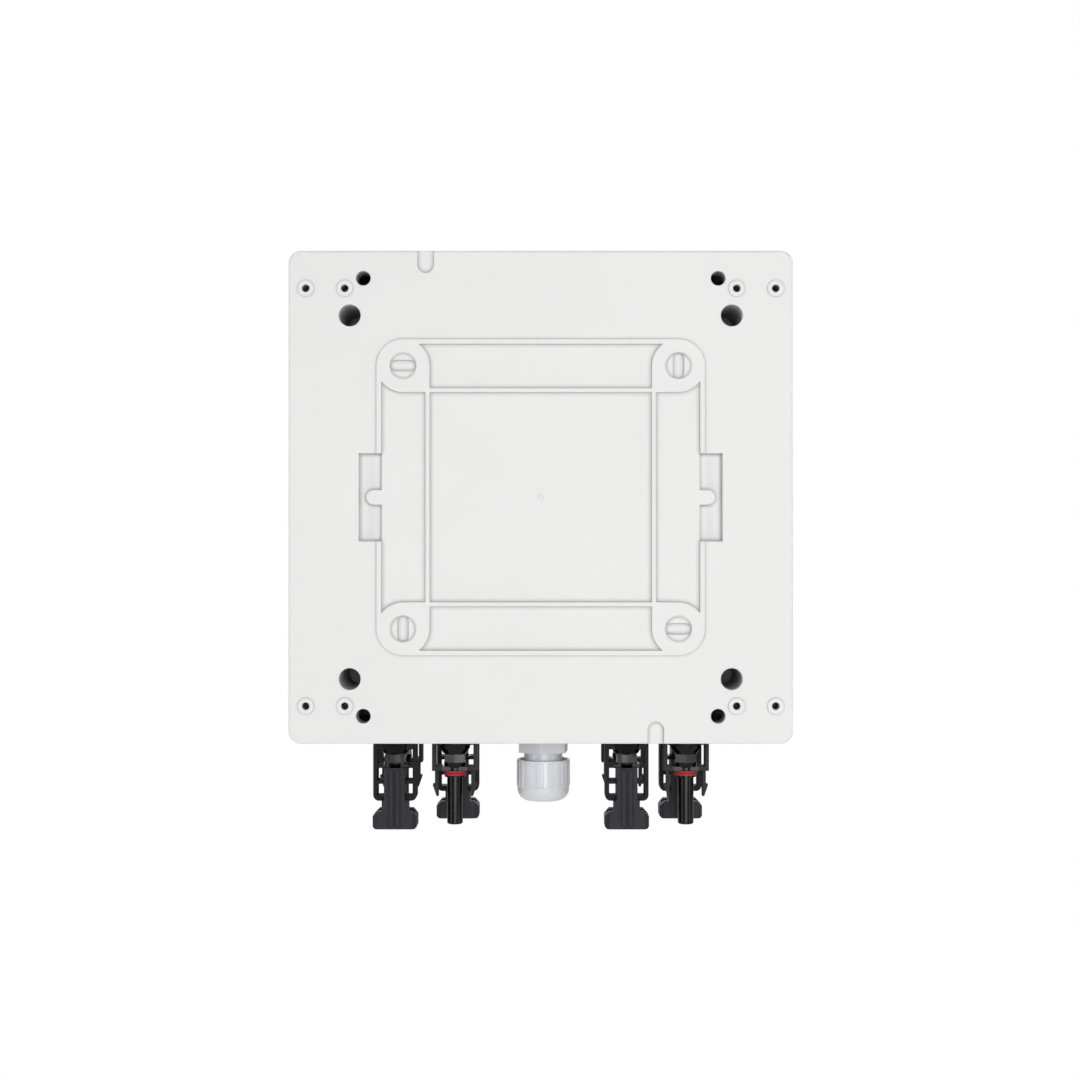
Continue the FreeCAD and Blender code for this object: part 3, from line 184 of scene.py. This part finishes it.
def makeStudio():
    bpy.context.scene.view_settings.view_transform = "Standard"
    for name, lamp in studio["lamps"].items():
        makeLamp(name, lamp)
    makeAir()
    makeFloor()


makeCamera()
makeStudio()
print("camera, lamps and floor in place")


# ---- finishes
# Depths in millimetres of the reliefs that the shaders draw
reliefDepth = {"moulded": 0.1, "drawn": 0.05, "ripple": 0.3}


def newFinish(name, settings):
    # A principled material with even values set on the shader's own sockets
    made = bpy.data.materials.new(name)
    made.use_nodes = True
    tree = made.node_tree
    tree.nodes.clear()
    shader = addNode(tree, "BsdfPrincipled", settings)
    addNode(tree, "OutputMaterial", {"Surface": shader.outputs[0]})
    place = addNode(tree, "TexCoord").outputs["Object"]
    return made, tree, shader, place


def shaderOf(made):
    return next(node for node in made.node_tree.nodes if node.type == "BSDF_PRINCIPLED")


def colourOf(made):
    return shaderOf(made).inputs["Base Color"].links[0].from_socket


def shadeCreases(tree, colour, look):
    # Tight places and the foot of each step hold a soft shade
    openness = addNode(tree, "AmbientOcclusion", {"Distance": mm(look["creaseReach"])}, samples=shadeSamples)
    closed = addNode(tree, "MapRange", {"Value": openness.outputs["AO"], "From Min": 1.0,
                                        "From Max": look["creaseFull"]})
    return addNode(tree, "Mix", {0: closed.outputs[0], 6: colour, 7: linear(look["creaseDark"])},
                   data_type="RGBA").outputs[2]


def glossBetween(tree, pattern, bounds, span=(0.3, 0.7)):
    # The usual span of the pattern's values is spread between two roughnesses
    return addNode(tree, "MapRange", {"Value": pattern.outputs[0], "From Min": span[0], "From Max": span[1],
                                      "To Min": bounds[0], "To Max": bounds[1]}).outputs[0]


def mouldedFinish(look):
    # Two close tones in a slow cloud, a fine grain from the tool and a little change in the gloss
    made, tree, shader, place = newFinish(look["name"], look["shader"])
    cloud = addNode(tree, "TexNoise", {"Vector": place, "Scale": perMetre(look["cloud"]), "Detail": 3.0})
    colour = addNode(tree, "Mix", {0: cloud.outputs[0], 6: linear(look["dark"]), 7: linear(look["light"])},
                     data_type="RGBA").outputs[2]
    grain = addNode(tree, "TexNoise", {"Vector": place, "Scale": perMetre(look["grain"]), "Detail": 2.0})
    gloss = glossBetween(tree, grain, look["rough"])
    relief = addNode(tree, "Bump", {"Strength": look["relief"], "Distance": mm(reliefDepth["moulded"]),
                                    "Height": grain.outputs[0]})
    if "creaseDark" in look:
        colour = shadeCreases(tree, colour, look)
    if "edgeRound" in look:
        # Every edge of a moulding is slightly round and catches the light as a soft line
        rounds = addNode(tree, "Bevel", {"Radius": mm(look["edgeRound"])}, samples=shadeSamples)
        tree.links.new(rounds.outputs[0], relief.inputs["Normal"])
    tree.links.new(gloss, shader.inputs["Roughness"])
    tree.links.new(relief.outputs[0], shader.inputs["Normal"])
    tree.links.new(colour, shader.inputs["Base Color"])
    return made


# Moulded ABS from a spark-eroded tool: matt and even. Its real grit of 0.1 mm is drawn coarser to show.
boxLook = {
    "name": "mattMouldedAbs", "dark": "#e4e4e4", "light": "#eaeaea", "cloud": 60, "grain": 0.6,
    "rough": (0.46, 0.58), "relief": 0.10, "shader": {"IOR": 1.53, "Specular IOR Level": 0.35},
    # The bores of the back get painted shade that deepens with depth: their middles, radii and fading in
    # millimetres
    "bores": (
        {"middles": ((81.3, 77.4),), "radius": 4.75, "dark": "#343434", "fade": 32.0},
        {"middles": ((75.5, 93.2),), "radius": 3.2, "dark": "#1c1c1c", "fade": 13.0},
        {"middles": ((100.0, 88.9), (83.4, 88.9)), "radius": 1.7, "dark": "#101010", "fade": 6.0},
    ),
    "boreReach": 42.0,
    # Painted shade darkens tight places and the foot of each step
    "creaseDark": "#c2c2c2", "creaseReach": 1.8, "creaseFull": 0.6, "edgeRound": 0.8,
}
# Black polyphenylene oxide of the hoods: satin from a fine spark-eroded tool, with painted shade in its
# recesses and close under the box
hoodLook = {
    "name": "satinBlackPolyphenylene", "dark": "#25252a", "light": "#303037", "cloud": 9, "grain": 0.35,
    "rough": (0.42, 0.55), "relief": 0.12, "shader": {"IOR": 1.53, "Specular IOR Level": 0.14},
    "creaseDark": "#030304", "creaseReach": 12.0, "creaseFull": 0.62,
}
# The noses come from a polished tool: deep black, with the lamps as soft upright streaks; they keep the
# hoods' painted shade in their recesses
noseLook = dict(hoodLook, name="glossBlackPolyphenylene", dark="#070708", light="#0c0c0e", rough=(0.16, 0.26),
                relief=0.05, shader={"IOR": 1.53, "Specular IOR Level": 0.24}, creaseReach=8.0)
# The round parts of a connector are polished, its yoke, fingers and hood are satin
polishLook = {"columns": (51.15, 13.15), "radius": 5.4, "fade": 0.3, "rough": 0.17}
# Painted shade: the hoods' ladder sleeves and what is close under the box are painted a deeper black than the
# columns
polishAndShadeLook = dict(polishLook, above=118.2, sleeve={
    "beyond": 4.75, "below": 133.4, "under": 113.6, "dark": "#08080a", "share": 0.93,
})
# Pale grey nylon: brighter and smoother than the box
glandLook = {
    "name": "paleGreyNylon", "dark": "#d0d3d8", "light": "#dadce1", "cloud": 14, "grain": 0.5,
    "rough": (0.18, 0.27), "relief": 0.05, "edgeRound": 0.35,
    "shader": {"IOR": 1.53, "Specular IOR Level": 0.5},
}
# Off-white glass-filled polycarbonate of the modular devices: matt and slightly warm
deviceLook = {
    "name": "offWhitePolycarbonate", "dark": "#d6d5d0", "light": "#e0dfdb", "cloud": 20, "grain": 0.4,
    "rough": (0.5, 0.62), "relief": 0.10, "edgeRound": 0.5,
    "shader": {"IOR": 1.58, "Specular IOR Level": 0.35},
}
leverLook = {
    "name": "darkGreyPolyamide", "dark": "#2b2c2f", "light": "#35363a", "cloud": 8, "grain": 0.4,
    "rough": (0.38, 0.48), "relief": 0.10, "edgeRound": 0.5,
    "shader": {"IOR": 1.53, "Specular IOR Level": 0.4},
}
# Silicone and rubber rings: soft, with a dull bloom
redRingLook = {
    "name": "redSilicone", "dark": "#9a2a30", "light": "#ad383d", "cloud": 5, "grain": 0.3,
    "rough": (0.42, 0.55), "relief": 0.12, "shader": {"IOR": 1.41, "Specular IOR Level": 0.4},
}
blackRingLook = {
    "name": "blackRubber", "dark": "#1b1b1c", "light": "#262627", "cloud": 6, "grain": 0.3,
    "rough": (0.62, 0.78), "relief": 0.15, "edgeRound": 0.3,
    "shader": {"IOR": 1.52, "Specular IOR Level": 0.3},
}
blueLook = dict(leverLook, name="bluePolyamide", dark="#2a4f9c", light="#3259a8")
greenLook = dict(leverLook, name="greenPolyamide", dark="#2f7a3c", light="#378746")


def metalFinish(look):
    # Fine lines of drawing or turning run along one axis, and the metal keeps its own index
    made, tree, shader, place = newFinish(look["name"], {"Metallic": 1.0})
    stretch = addNode(tree, "Mapping", {"Vector": place, "Scale": look["stretch"]})
    lines = addNode(tree, "TexNoise", {"Vector": stretch.outputs[0], "Scale": perMetre(look["line"]),
                                       "Detail": 2.0})
    cloud = addNode(tree, "TexNoise", {"Vector": place, "Scale": perMetre(look["cloud"]), "Detail": 4.0})
    colour = addNode(tree, "Mix", {0: cloud.outputs[0], 6: linear(look["dark"]), 7: linear(look["light"])},
                     data_type="RGBA").outputs[2]
    gloss = glossBetween(tree, lines, look["rough"])
    relief = addNode(tree, "Bump", {"Strength": look["relief"], "Distance": mm(reliefDepth["drawn"]),
                                    "Height": lines.outputs[0]})
    tree.links.new(colour, shader.inputs["Base Color"])
    tree.links.new(gloss, shader.inputs["Roughness"])
    tree.links.new(relief.outputs[0], shader.inputs["Normal"])
    return made


brassLook = {"name": "drawnBrass", "dark": "#b89a55", "light": "#cfb26d", "cloud": 9, "line": 0.25,
             "stretch": (0.05, 1, 1), "rough": (0.24, 0.4), "relief": 0.12}
copperLook = dict(brassLook, name="rolledCopper", dark="#b4704f", light="#cc8763")
steelLook = dict(brassLook, name="zincPlatedSteel", dark="#a9abad", light="#c6c8ca", cloud=7,
                 rough=(0.26, 0.42))
tinLook = dict(brassLook, name="tinPlatedContact", dark="#b3b3ae", light="#cbcbc6", cloud=3, line=0.2,
               stretch=(1, 1, 4), rough=(0.2, 0.36))


def boredFinish(look):
    # The photograph shows the bores almost black: they lose the light within a centimetre or so
    made = mouldedFinish(dict(look, name=look["name"] + "Bored"))
    tree = made.node_tree
    colour = colourOf(made)
    place = addNode(tree, "TexCoord").outputs["Object"]
    side = addNode(tree, "VectorMath", {0: place}, operation="ABSOLUTE")
    flat = addNode(tree, "VectorMath", {0: side.outputs[0], 1: (1, 0, 1)}, operation="MULTIPLY")
    height = addNode(tree, "SeparateXYZ", {0: place}).outputs["Y"]
    near = addNode(tree, "Math", {0: height, 1: -mm(look["boreReach"])}, operation="GREATER_THAN").outputs[0]
    for bore in look["bores"]:
        fall = addNode(tree, "Math", {0: height, 1: perMetre(bore["fade"])}, operation="MULTIPLY")
        left = addNode(tree, "Math", {0: fall.outputs[0]}, operation="EXPONENT", use_clamp=True)
        depth = addNode(tree, "Math", {0: 1.0, 1: left.outputs[0]}, operation="SUBTRACT")
        amount = addNode(tree, "Math", {0: near, 1: depth.outputs[0]}, operation="MULTIPLY").outputs[0]
        for x, z in bore["middles"]:
            gap = addNode(tree, "VectorMath", {0: flat.outputs[0], 1: (mm(x), 0, mm(z))},
                          operation="DISTANCE")
            inside = addNode(tree, "Math", {0: gap.outputs["Value"], 1: mm(bore["radius"])},
                             operation="LESS_THAN")
            share = addNode(tree, "Math", {0: inside.outputs[0], 1: amount}, operation="MULTIPLY")
            colour = addNode(tree, "Mix", {0: share.outputs[0], 6: colour, 7: linear(bore["dark"])},
                             data_type="RGBA").outputs[2]
    tree.links.new(colour, shaderOf(made).inputs["Base Color"])
    return made


def polishRounds(made, look):
    # Distance from the nearest connector's axis, folded together from the four of them
    tree = made.node_tree
    shader = shaderOf(made)
    satin = shader.inputs["Roughness"].links[0].from_socket
    place = addNode(tree, "TexCoord").outputs["Object"]
    split = addNode(tree, "SeparateXYZ", {0: place})
    across = split.outputs["X"]
    for column in look["columns"]:
        across = addNode(tree, "Math", {0: across}, operation="ABSOLUTE").outputs[0]
        across = addNode(tree, "Math", {0: across, 1: mm(column)}, operation="SUBTRACT").outputs[0]
    across = addNode(tree, "Math", {0: across}, operation="ABSOLUTE").outputs[0]
    share = addNode(tree, "MapRange", {"Value": across, "From Min": mm(look["radius"]),
                                       "From Max": mm(look["radius"] + look["fade"])}).outputs[0]
    if "above" in look:
        low = addNode(tree, "Math", {0: split.outputs["Z"], 1: -mm(look["above"])}, operation="LESS_THAN")
        share = addNode(tree, "Math", {0: share, 1: low.outputs[0]}, operation="MAXIMUM").outputs[0]
    # Painted shade: the sleeve beside the windows and the part close under the box get a deeper black
    if "sleeve" in look:
        sleeve = look["sleeve"]
        height = split.outputs["Z"]
        beyond, below, under = (
            addNode(tree, "Math", {0: given, 1: edge}, operation="GREATER_THAN").outputs[0]
            for given, edge in ((across, mm(sleeve["beyond"])), (height, -mm(sleeve["below"])),
                                (height, -mm(sleeve["under"]))))
        aside = addNode(tree, "Math", {0: beyond, 1: below}, operation="MULTIPLY").outputs[0]
        deep = addNode(tree, "Math", {0: aside, 1: under}, operation="MAXIMUM").outputs[0]
        deep = addNode(tree, "Math", {0: deep, 1: sleeve["share"]}, operation="MULTIPLY").outputs[0]
        colour = addNode(tree, "Mix", {0: deep, 6: colourOf(made), 7: linear(sleeve["dark"])},
                         data_type="RGBA").outputs[2]
        tree.links.new(colour, shader.inputs["Base Color"])
    even = addNode(tree, "Mix", {0: share, 2: look["rough"], 3: satin}, data_type="FLOAT").outputs[0]
    tree.links.new(even, shader.inputs["Roughness"])
    return made


# Smoke-tinted polycarbonate: clear, hard and polished, with the faintest ripple of its mould
doorLook = {"name": "smokedPolycarbonate", "tint": "#23282d", "edge": "#2c3238", "clear": 0.42,
            "ripple": 28, "relief": 0.03, "scuff": 3, "scuffSpan": (0.35, 0.7), "rough": (0.05, 0.12)}


def doorFinish(look):
    made, tree, shader, place = newFinish(look["name"], {"IOR": 1.58, "Alpha": look["clear"]})
    wave = addNode(tree, "TexNoise", {"Vector": place, "Scale": perMetre(look["ripple"]), "Detail": 1.0})
    scuff = addNode(tree, "TexNoise", {"Vector": place, "Scale": perMetre(look["scuff"]), "Detail": 5.0})
    gloss = glossBetween(tree, scuff, look["rough"], look["scuffSpan"])
    colour = addNode(tree, "Mix", {0: wave.outputs[0], 6: linear(look["tint"]), 7: linear(look["edge"])},
                     data_type="RGBA")
    relief = addNode(tree, "Bump", {"Strength": look["relief"], "Distance": mm(reliefDepth["ripple"]),
                                    "Height": wave.outputs[0]})
    tree.links.new(colour.outputs[2], shader.inputs["Base Color"])
    tree.links.new(gloss, shader.inputs["Roughness"])
    tree.links.new(relief.outputs[0], shader.inputs["Normal"])
    return made


def without(look, key):
    return {name: setting for name, setting in look.items() if name != key}


finishes = {
    "box_plastic": mouldedFinish(boxLook),
    "door_plastic": doorFinish(doorLook),
    "connector_plastic": polishRounds(mouldedFinish(hoodLook), polishAndShadeLook),
    "gland_nylon": mouldedFinish(glandLook),
    "device_plastic": mouldedFinish(deviceLook),
    "lever_plastic": mouldedFinish(leverLook),
    "red_rubber": mouldedFinish(redRingLook),
    "seal_rubber": mouldedFinish(blackRingLook),
    "holder_blue": mouldedFinish(blueLook),
    "holder_green": mouldedFinish(greenLook),
    "steel": metalFinish(steelLook),
    "brass": metalFinish(brassLook),
    "copper": metalFinish(copperLook),
    "tinned_copper": metalFinish(tinLook),
}
# Small flat places have no edge of their own to round
flatAbs = mouldedFinish(without(boxLook, "edgeRound"))
glossBlack = polishRounds(mouldedFinish(dict(noseLook, rough=hoodLook["rough"])), polishLook)
slotOf = {entry["node"]: entry["material_slot"] for entry in frame["record"]["subparts"]}
for name, item in nodes.items():
    item.data.materials.clear()
    item.data.materials.append(finishes[slotOf[name]])
nodes["back_box"].data.materials[0] = boredFinish(boxLook)
print("finishes made:", len(finishes))


# ---- pieces
def bodyOf(name):
    return next(body for body, members in frame["record"]["behaviour"]["bodies"].items() if name in members)


def addPiece(name, shape, body, slot, replaced=(), smoothUnder=40, finish=None):
    mesh = bpy.data.meshes.new(name)
    shape.to_mesh(mesh)
    shape.free()
    mesh.materials.append(finish or finishes[slot])
    for face in mesh.polygons:
        face.use_smooth = True
    mesh.set_sharp_from_angle(angle=math.radians(smoothUnder))
    piece = bpy.data.objects.new(name, mesh)
    bpy.context.scene.collection.objects.link(piece)
    even = piece.modifiers.new("evenNormals", "WEIGHTED_NORMAL")
    even.keep_sharp = True
    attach(piece, body)
    if replaced:
        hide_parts(*replaced)
    return piece


# Edges sharper than "from" degrees get rounds, which take at most this share of the room beside them.
# What is under "level" millimetres counts as parallel, and under "tiny" as no room at all.
softening = {"flat": 0.6, "from": 30, "share": 0.46, "farthest": 4, "steps": 2, "near": 0.02,
             "level": 1e-6, "tiny": 1e-3}


def roomBeside(edge, face):
    # How far the face runs from the middle of the edge, straight in from it
    middle = (edge.verts[0].co + edge.verts[1].co) / 2
    along = (edge.verts[1].co - edge.verts[0].co).normalized()
    inward = face.normal.cross(along)
    rooms = [mm(softening["farthest"])]
    for other in face.edges:
        a, b = (vert.co - middle for vert in other.verts)
        sideA, sideB = a.dot(along), b.dot(along)
        if other is edge or sideA * sideB > 0 or abs(sideA - sideB) < mm(softening["level"]):
            continue
        share = sideA / (sideA - sideB)
        hit = abs(a.dot(inward) * (1 - share) + b.dot(inward) * share)
        if hit > mm(softening["tiny"]):
            rooms.append(hit)
    return min(rooms)


def softened(nodeName, newName, look):
    # A moulding taken from its node, with its crisp edges given their small moulded rounds
    shape = bmesh.new()
    shape.from_mesh(nodes[nodeName].data)
    bmesh.ops.remove_doubles(shape, verts=shape.verts, dist=mm(sameSpot))
    bmesh.ops.dissolve_limit(shape, angle_limit=math.radians(softening["flat"]), verts=shape.verts,
                             edges=shape.edges, use_dissolve_boundaries=False)
    if "widen" in look:
        # The photograph's side rails are a little slimmer beside the windows
        low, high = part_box(nodeName)
        middle = (low[0] + high[0]) / 2
        for vert in shape.verts:
            aside = vert.co.x - middle
            if abs(abs(aside) - mm(look["windowEdge"])) < mm(softening["near"]):
                vert.co.x += math.copysign(mm(look["widen"]), aside)
    weight = shape.edges.layers.float.new("bevel_weight_edge")
    for edge in shape.edges:
        if edge.is_manifold and edge.is_convex and edge.calc_face_angle(0) > math.radians(softening["from"]):
            room = min(roomBeside(edge, face) for face in edge.link_faces)
            edge[weight] = min(1.0, softening["share"] * room / mm(look["round"]))
    piece = addPiece(newName, shape, bodyOf(nodeName), slotOf[nodeName], (nodeName,),
                     finish=look.get("finish"))
    rounds = piece.modifiers.new("mouldedRounds", "BEVEL")
    rounds.limit_method = "WEIGHT"
    rounds.width = mm(look["round"])
    rounds.segments = softening["steps"]
    rounds.use_clamp_overlap = False
    piece.modifiers.move(len(piece.modifiers) - 1, 0)


softLooks = {"door": ("clearDoor", {"round": 0.25})}
for string in strings:
    softLooks[f"male_housing_{string}"] = (f"lockingHood{string}",
                                           {"round": 0.18, "windowEdge": 7.25, "widen": 0.5})
    softLooks[f"female_housing_{string}"] = (f"snapNose{string}", {"round": 0.15, "finish": glossBlack})
for nodeName, (newName, look) in softLooks.items():
    softened(nodeName, newName, look)
print("mouldings softened:", len(softLooks))


def spunRing(outline, centre, steps):
    # A closed outline of radius and height, turned once about an upright axis
    shape = bmesh.new()
    corners = [shape.verts.new((centre[0] + reach, centre[1], height)) for reach, height in outline]
    loop = [shape.edges.new((corners[i - 1], corners[i])) for i in range(len(corners))]
    bmesh.ops.spin(shape, geom=corners + loop, cent=(*centre, 0), axis=(0, 0, 1), dvec=(0, 0, 0),
                   angle=math.radians(360), steps=steps, use_merge=True)
    bmesh.ops.remove_doubles(shape, verts=shape.verts, dist=mm(sameSpot))
    bmesh.ops.recalc_face_normals(shape, faces=shape.faces)
    return shape


def roundEdges(shape, edges, size, steps):
    bmesh.ops.bevel(shape, geom=edges, offset=mm(size), offset_type="OFFSET", segments=steps, profile=0.5,
                    affect="EDGES", material=-1)


def middleOf(node):
    low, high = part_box(node)
    return (low[0] + high[0]) / 2, (low[1] + high[1]) / 2


def ringEdges(shape, centre, reach, height):
    # The edges of one circle of a turned shape
    near = mm(softening["near"])
    return [edge for edge in shape.edges
            if all(abs(vert.co.z - height) < near
                   and abs((vert.co.xy - Vector(centre)).length - reach) < near for vert in edge.verts)]


# The nose's seal ring: two soft lips with a groove between them
ringLook = {"wall": 1.5, "lip": 0.42, "groove": 0.6, "round": 0.32, "steps": 3, "around": 48, "sharp": 30,
            "near": 0.1}


def ridgedRing(string, look):
    node = f"nose_seal_{string}"
    low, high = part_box(node)
    centre = middleOf(node)
    outer = (high[0] - low[0]) / 2
    inner = outer - mm(look["wall"])
    tall = high[2] - low[2]
    lip = tall * look["lip"]
    outline = [(inner, low[2]), (outer, low[2]), (outer, low[2] + lip),
               (outer - mm(look["groove"]), (low[2] + high[2]) / 2),
               (outer, high[2] - lip), (outer, high[2]), (inner, high[2])]
    shape = spunRing(outline, centre, look["around"])
    rims = [edge for edge in shape.edges
            if edge.is_manifold and edge.calc_face_angle(0) > math.radians(look["sharp"])
            and (edge.verts[0].co.xy - Vector(centre)).length > outer - mm(look["near"])]
    roundEdges(shape, rims, look["round"], look["steps"])
    addPiece(f"redSealRing{string}", shape, root, "red_rubber", (node,))


for string in strings:
    ridgedRing(string, ringLook)
print("seal rings made:", len(strings))


# The round cap under each connector's hexagon, radii and drops below the box in millimetres
capLook = {"around": 48, "outline": (
    (2.9, 11.2), (4.9, 11.2), (4.85, 12.2), (4.5, 13.4), (3.9, 14.4), (3.5, 14.85), (2.9, 14.85))}
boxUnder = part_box("back_box")[0][2]


def roundCap(node, name, look):
    shape = spunRing([(mm(reach), boxUnder - mm(drop)) for reach, drop in look["outline"]], middleOf(node),
                     look["around"])
    addPiece(name, shape, root, "connector_plastic", finish=glossBlack)


for string in strings:
    roundCap(f"male_housing_{string}", f"hoodCap{string}", capLook)
    roundCap(f"female_housing_{string}", f"noseCap{string}", capLook)
print("caps made:", 2 * len(strings))

# A polished band lies on each connector's hexagon: half its size over the corners, and its drops
hexLook = {"corner": 5.26, "inner": 4.6, "from": 7.65, "to": 11.25, "turn": 30, "sides": 6}
bandLook = dict(noseLook, name="bandBlackPolyphenylene", dark="#161619", light="#1e1e22",
                shader={"IOR": 1.53, "Specular IOR Level": 0.5})
bandBlack = mouldedFinish(without(bandLook, "creaseDark"))


def hexBand(node, name, look):
    centre = middleOf(node)
    outline = [(mm(look[reach]), boxUnder - mm(look[drop])) for reach, drop in (
        ("inner", "from"), ("corner", "from"), ("corner", "to"), ("inner", "to"))]
    shape = spunRing(outline, centre, look["sides"])
    bmesh.ops.rotate(shape, verts=shape.verts, cent=(*centre, 0),
                     matrix=Matrix.Rotation(math.radians(look["turn"]), 3, "Z"))
    addPiece(name, shape, root, "connector_plastic", finish=bandBlack)


for string in strings:
    hexBand(f"male_housing_{string}", f"hoodBand{string}", hexLook)
    hexBand(f"female_housing_{string}", f"noseBand{string}", hexLook)
print("hexagon bands made:", 2 * len(strings))

# The cover's gasket bends round the corners of the rim, and the rim closes outside it. All in millimetres.
rimLook = {"outX": 106.5, "outZ": 104.0, "inX": 105.0, "inZ": 102.5, "bend": 2.2, "front": 76.0,
           "back": 74.0, "cornerX": 102.1, "cornerZ": 99.6, "reach": 5.395, "wall": 0.4, "from": 34.5,
           "to": 55.5, "steps": 6}


def prism(outlines, front, back):
    # Flat outlines in X and Z, the first one the outside, carried from the front to the back
    shape = bmesh.new()
    edges = []
    for outline in outlines:
        loop = [shape.verts.new((mm(x), -mm(front), mm(z))) for x, z in outline]
        edges += [shape.edges.new((loop[i - 1], loop[i])) for i in range(len(loop))]
    filled = bmesh.ops.triangle_fill(shape, use_beauty=True, edges=edges)
    faces = [item for item in filled["geom"] if isinstance(item, bmesh.types.BMFace)]
    grown = bmesh.ops.extrude_face_region(shape, geom=faces)
    moved = [item for item in grown["geom"] if isinstance(item, bmesh.types.BMVert)]
    bmesh.ops.translate(shape, verts=moved, vec=(0, mm(front - back), 0))
    bmesh.ops.recalc_face_normals(shape, faces=shape.faces)
    return shape


def fan(look, start=0):
    # Even angles from one bound to the other
    return [math.radians(start + look["from"] + (look["to"] - look["from"]) * step / look["steps"])
            for step in range(look["steps"] + 1)]


def rimCorners(look):
    outside = []
    quarters = ((1, 1), (-1, 1), (-1, -1), (1, -1))
    for sideX, sideZ in quarters:
        bend = [(look["outX"], look["outZ"] - look["bend"]), (look["outX"] - look["bend"], look["outZ"])]
        outside += [(sideX * x, sideZ * z) for x, z in (bend if sideX == sideZ else reversed(bend))]
    inside = [(sideX * look["inX"], sideZ * look["inZ"]) for sideX, sideZ in quarters]
    addPiece("bentGasket", prism((outside, inside), look["front"], look["back"]), root, "seal_rubber",
             ("cover_gasket",))
    angles = fan(look)
    for index, (sideX, sideZ) in enumerate(quarters, 1):
        arc = [(look["cornerX"] + reach * math.cos(angle), look["cornerZ"] + reach * math.sin(angle))
               for reach, turns in ((look["reach"], angles), (look["reach"] - look["wall"], angles[::-1]))
               for angle in turns]
        shape = prism(([(sideX * x, sideZ * z) for x, z in arc],), look["front"], look["back"])
        addPiece(f"rimCorner{index}", shape, root, "box_plastic", finish=flatAbs)


rimCorners(rimLook)
print("gasket bent and rim corners closed")

# The back's plate runs up to the round corners of its frame. Middles of the pads, reaches and depths.
webLook = {"padX": 58.6, "padZ": 56.0, "far": 10.3, "near": 4.2, "top": 0.385, "thick": 0.6}


def cornerWeb(index, sideX, sideZ, look):
    spots = ((look["far"], look["near"]), (look["far"], look["far"]), (look["near"], look["far"]))
    corners = [(sideX * (look["padX"] + x), sideZ * (look["padZ"] + z)) for x, z in spots]
    shape = prism((corners,), look["top"] + look["thick"], look["top"])
    addPiece(f"cornerWeb{index}", shape, root, "box_plastic", finish=flatAbs)


padSides = ((-1, 1), (1, 1), (-1, -1), (1, -1))
for index, (sideX, sideZ) in enumerate(padSides, 1):
    cornerWeb(index, sideX, sideZ, webLook)
print("frame corners closed:", len(padSides))

# The ring around each knockout is shallow except at the ends of its slot. Radii, depths, and degrees
# from the slot.
ringFill = {"inner": 4.75, "outer": 5.65, "top": 0.28, "under": 0.66, "from": 30, "to": 150, "steps": 20}


def knockArc(name, sideX, sideZ, start, look):
    turns = fan(look, start)
    middleX, middleZ = sideX * webLook["padX"], sideZ * webLook["padZ"]
    arc = [(middleX + reach * math.cos(turn), middleZ + reach * math.sin(turn))
           for reach, run in ((look["outer"], turns), (look["inner"], turns[::-1])) for turn in run]
    addPiece(name, prism((arc,), look["under"], look["top"]), root, "box_plastic", finish=flatAbs)


for index, (sideX, sideZ) in enumerate(padSides, 1):
    upright = 0 if sideX == sideZ else 90
    knockArc(f"knockArc{index}a", sideX, sideZ, upright, ringFill)
    knockArc(f"knockArc{index}b", sideX, sideZ, upright + 180, ringFill)
print("knockout rings filled:", len(padSides))

# The gland's dome nut: a hollow rim, a fluted grip and a polished round end. Radii and drops in millimetres.
domeLook = {"side": 12.0, "rim": 0.9, "rimRound": 0.35, "rimSteps": 3, "cup": 10.9, "cupFloor": 14.3,
            "bore": 9.5, "gripEnd": 23.6, "shoulder": 11.7, "shoulderDrop": 0.5, "end": 30.4, "endRound": 5.2,
            "endSteps": 9, "hole": 5.6, "wall": 2.2, "clear": 27.4, "start": 11.8, "around": 72,
            "fluteEvery": 3, "fluteInset": 0.16, "fluteDepth": 0.28, "fluteNear": 0.5, "sideNear": 0.3,
            "sharp": 28}


def domeNut(look):
    centre = middleOf("gland_dome_nut")
    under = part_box("gland_dome_nut")[1][2] + mm(look["start"])

    def at(radius, drop):
        return mm(radius), under - mm(drop)

    grip = look["start"] + look["rim"]
    shape = spunRing([at(look["cup"], look["start"]), at(look["side"], look["start"]), at(look["side"], grip),
                      at(look["side"], look["gripEnd"]),
                      at(look["shoulder"], look["gripEnd"] + look["shoulderDrop"]),
                      at(look["shoulder"], look["end"]), at(look["hole"], look["end"]),
                      at(look["hole"], look["end"] - look["wall"]), at(look["bore"], look["clear"]),
                      at(look["bore"], look["cupFloor"]), at(look["cup"], look["cupFloor"])],
                     centre, look["around"])
    middle = Vector((*centre, under - mm((grip + look["gripEnd"]) / 2)))
    flutes = []
    for face in shape.faces:
        away = face.calc_center_median() - middle
        if abs(away.z) < mm(look["fluteNear"]) and away.xy.length > mm(look["side"] - look["sideNear"]):
            flutes.append((math.atan2(away.x, away.y), face))
    flutes.sort(key=lambda flute: flute[0])
    bmesh.ops.inset_individual(shape, faces=[face for _, face in flutes[::look["fluteEvery"]]],
                               thickness=mm(look["fluteInset"]), depth=-mm(look["fluteDepth"]))
    for reach, drop, size, steps in ((look["side"], look["start"], look["rimRound"], look["rimSteps"]),
                                     (look["cup"], look["start"], look["rimRound"], look["rimSteps"]),
                                     (look["shoulder"], look["end"], look["endRound"], look["endSteps"])):
        roundEdges(shape, ringEdges(shape, centre, *at(reach, drop)), size, steps)
    addPiece("flutedDomeNut", shape, "gland_nut", "gland_nylon", ("gland_dome_nut",),
             smoothUnder=look["sharp"])


domeNut(domeLook)
print("dome nut made")
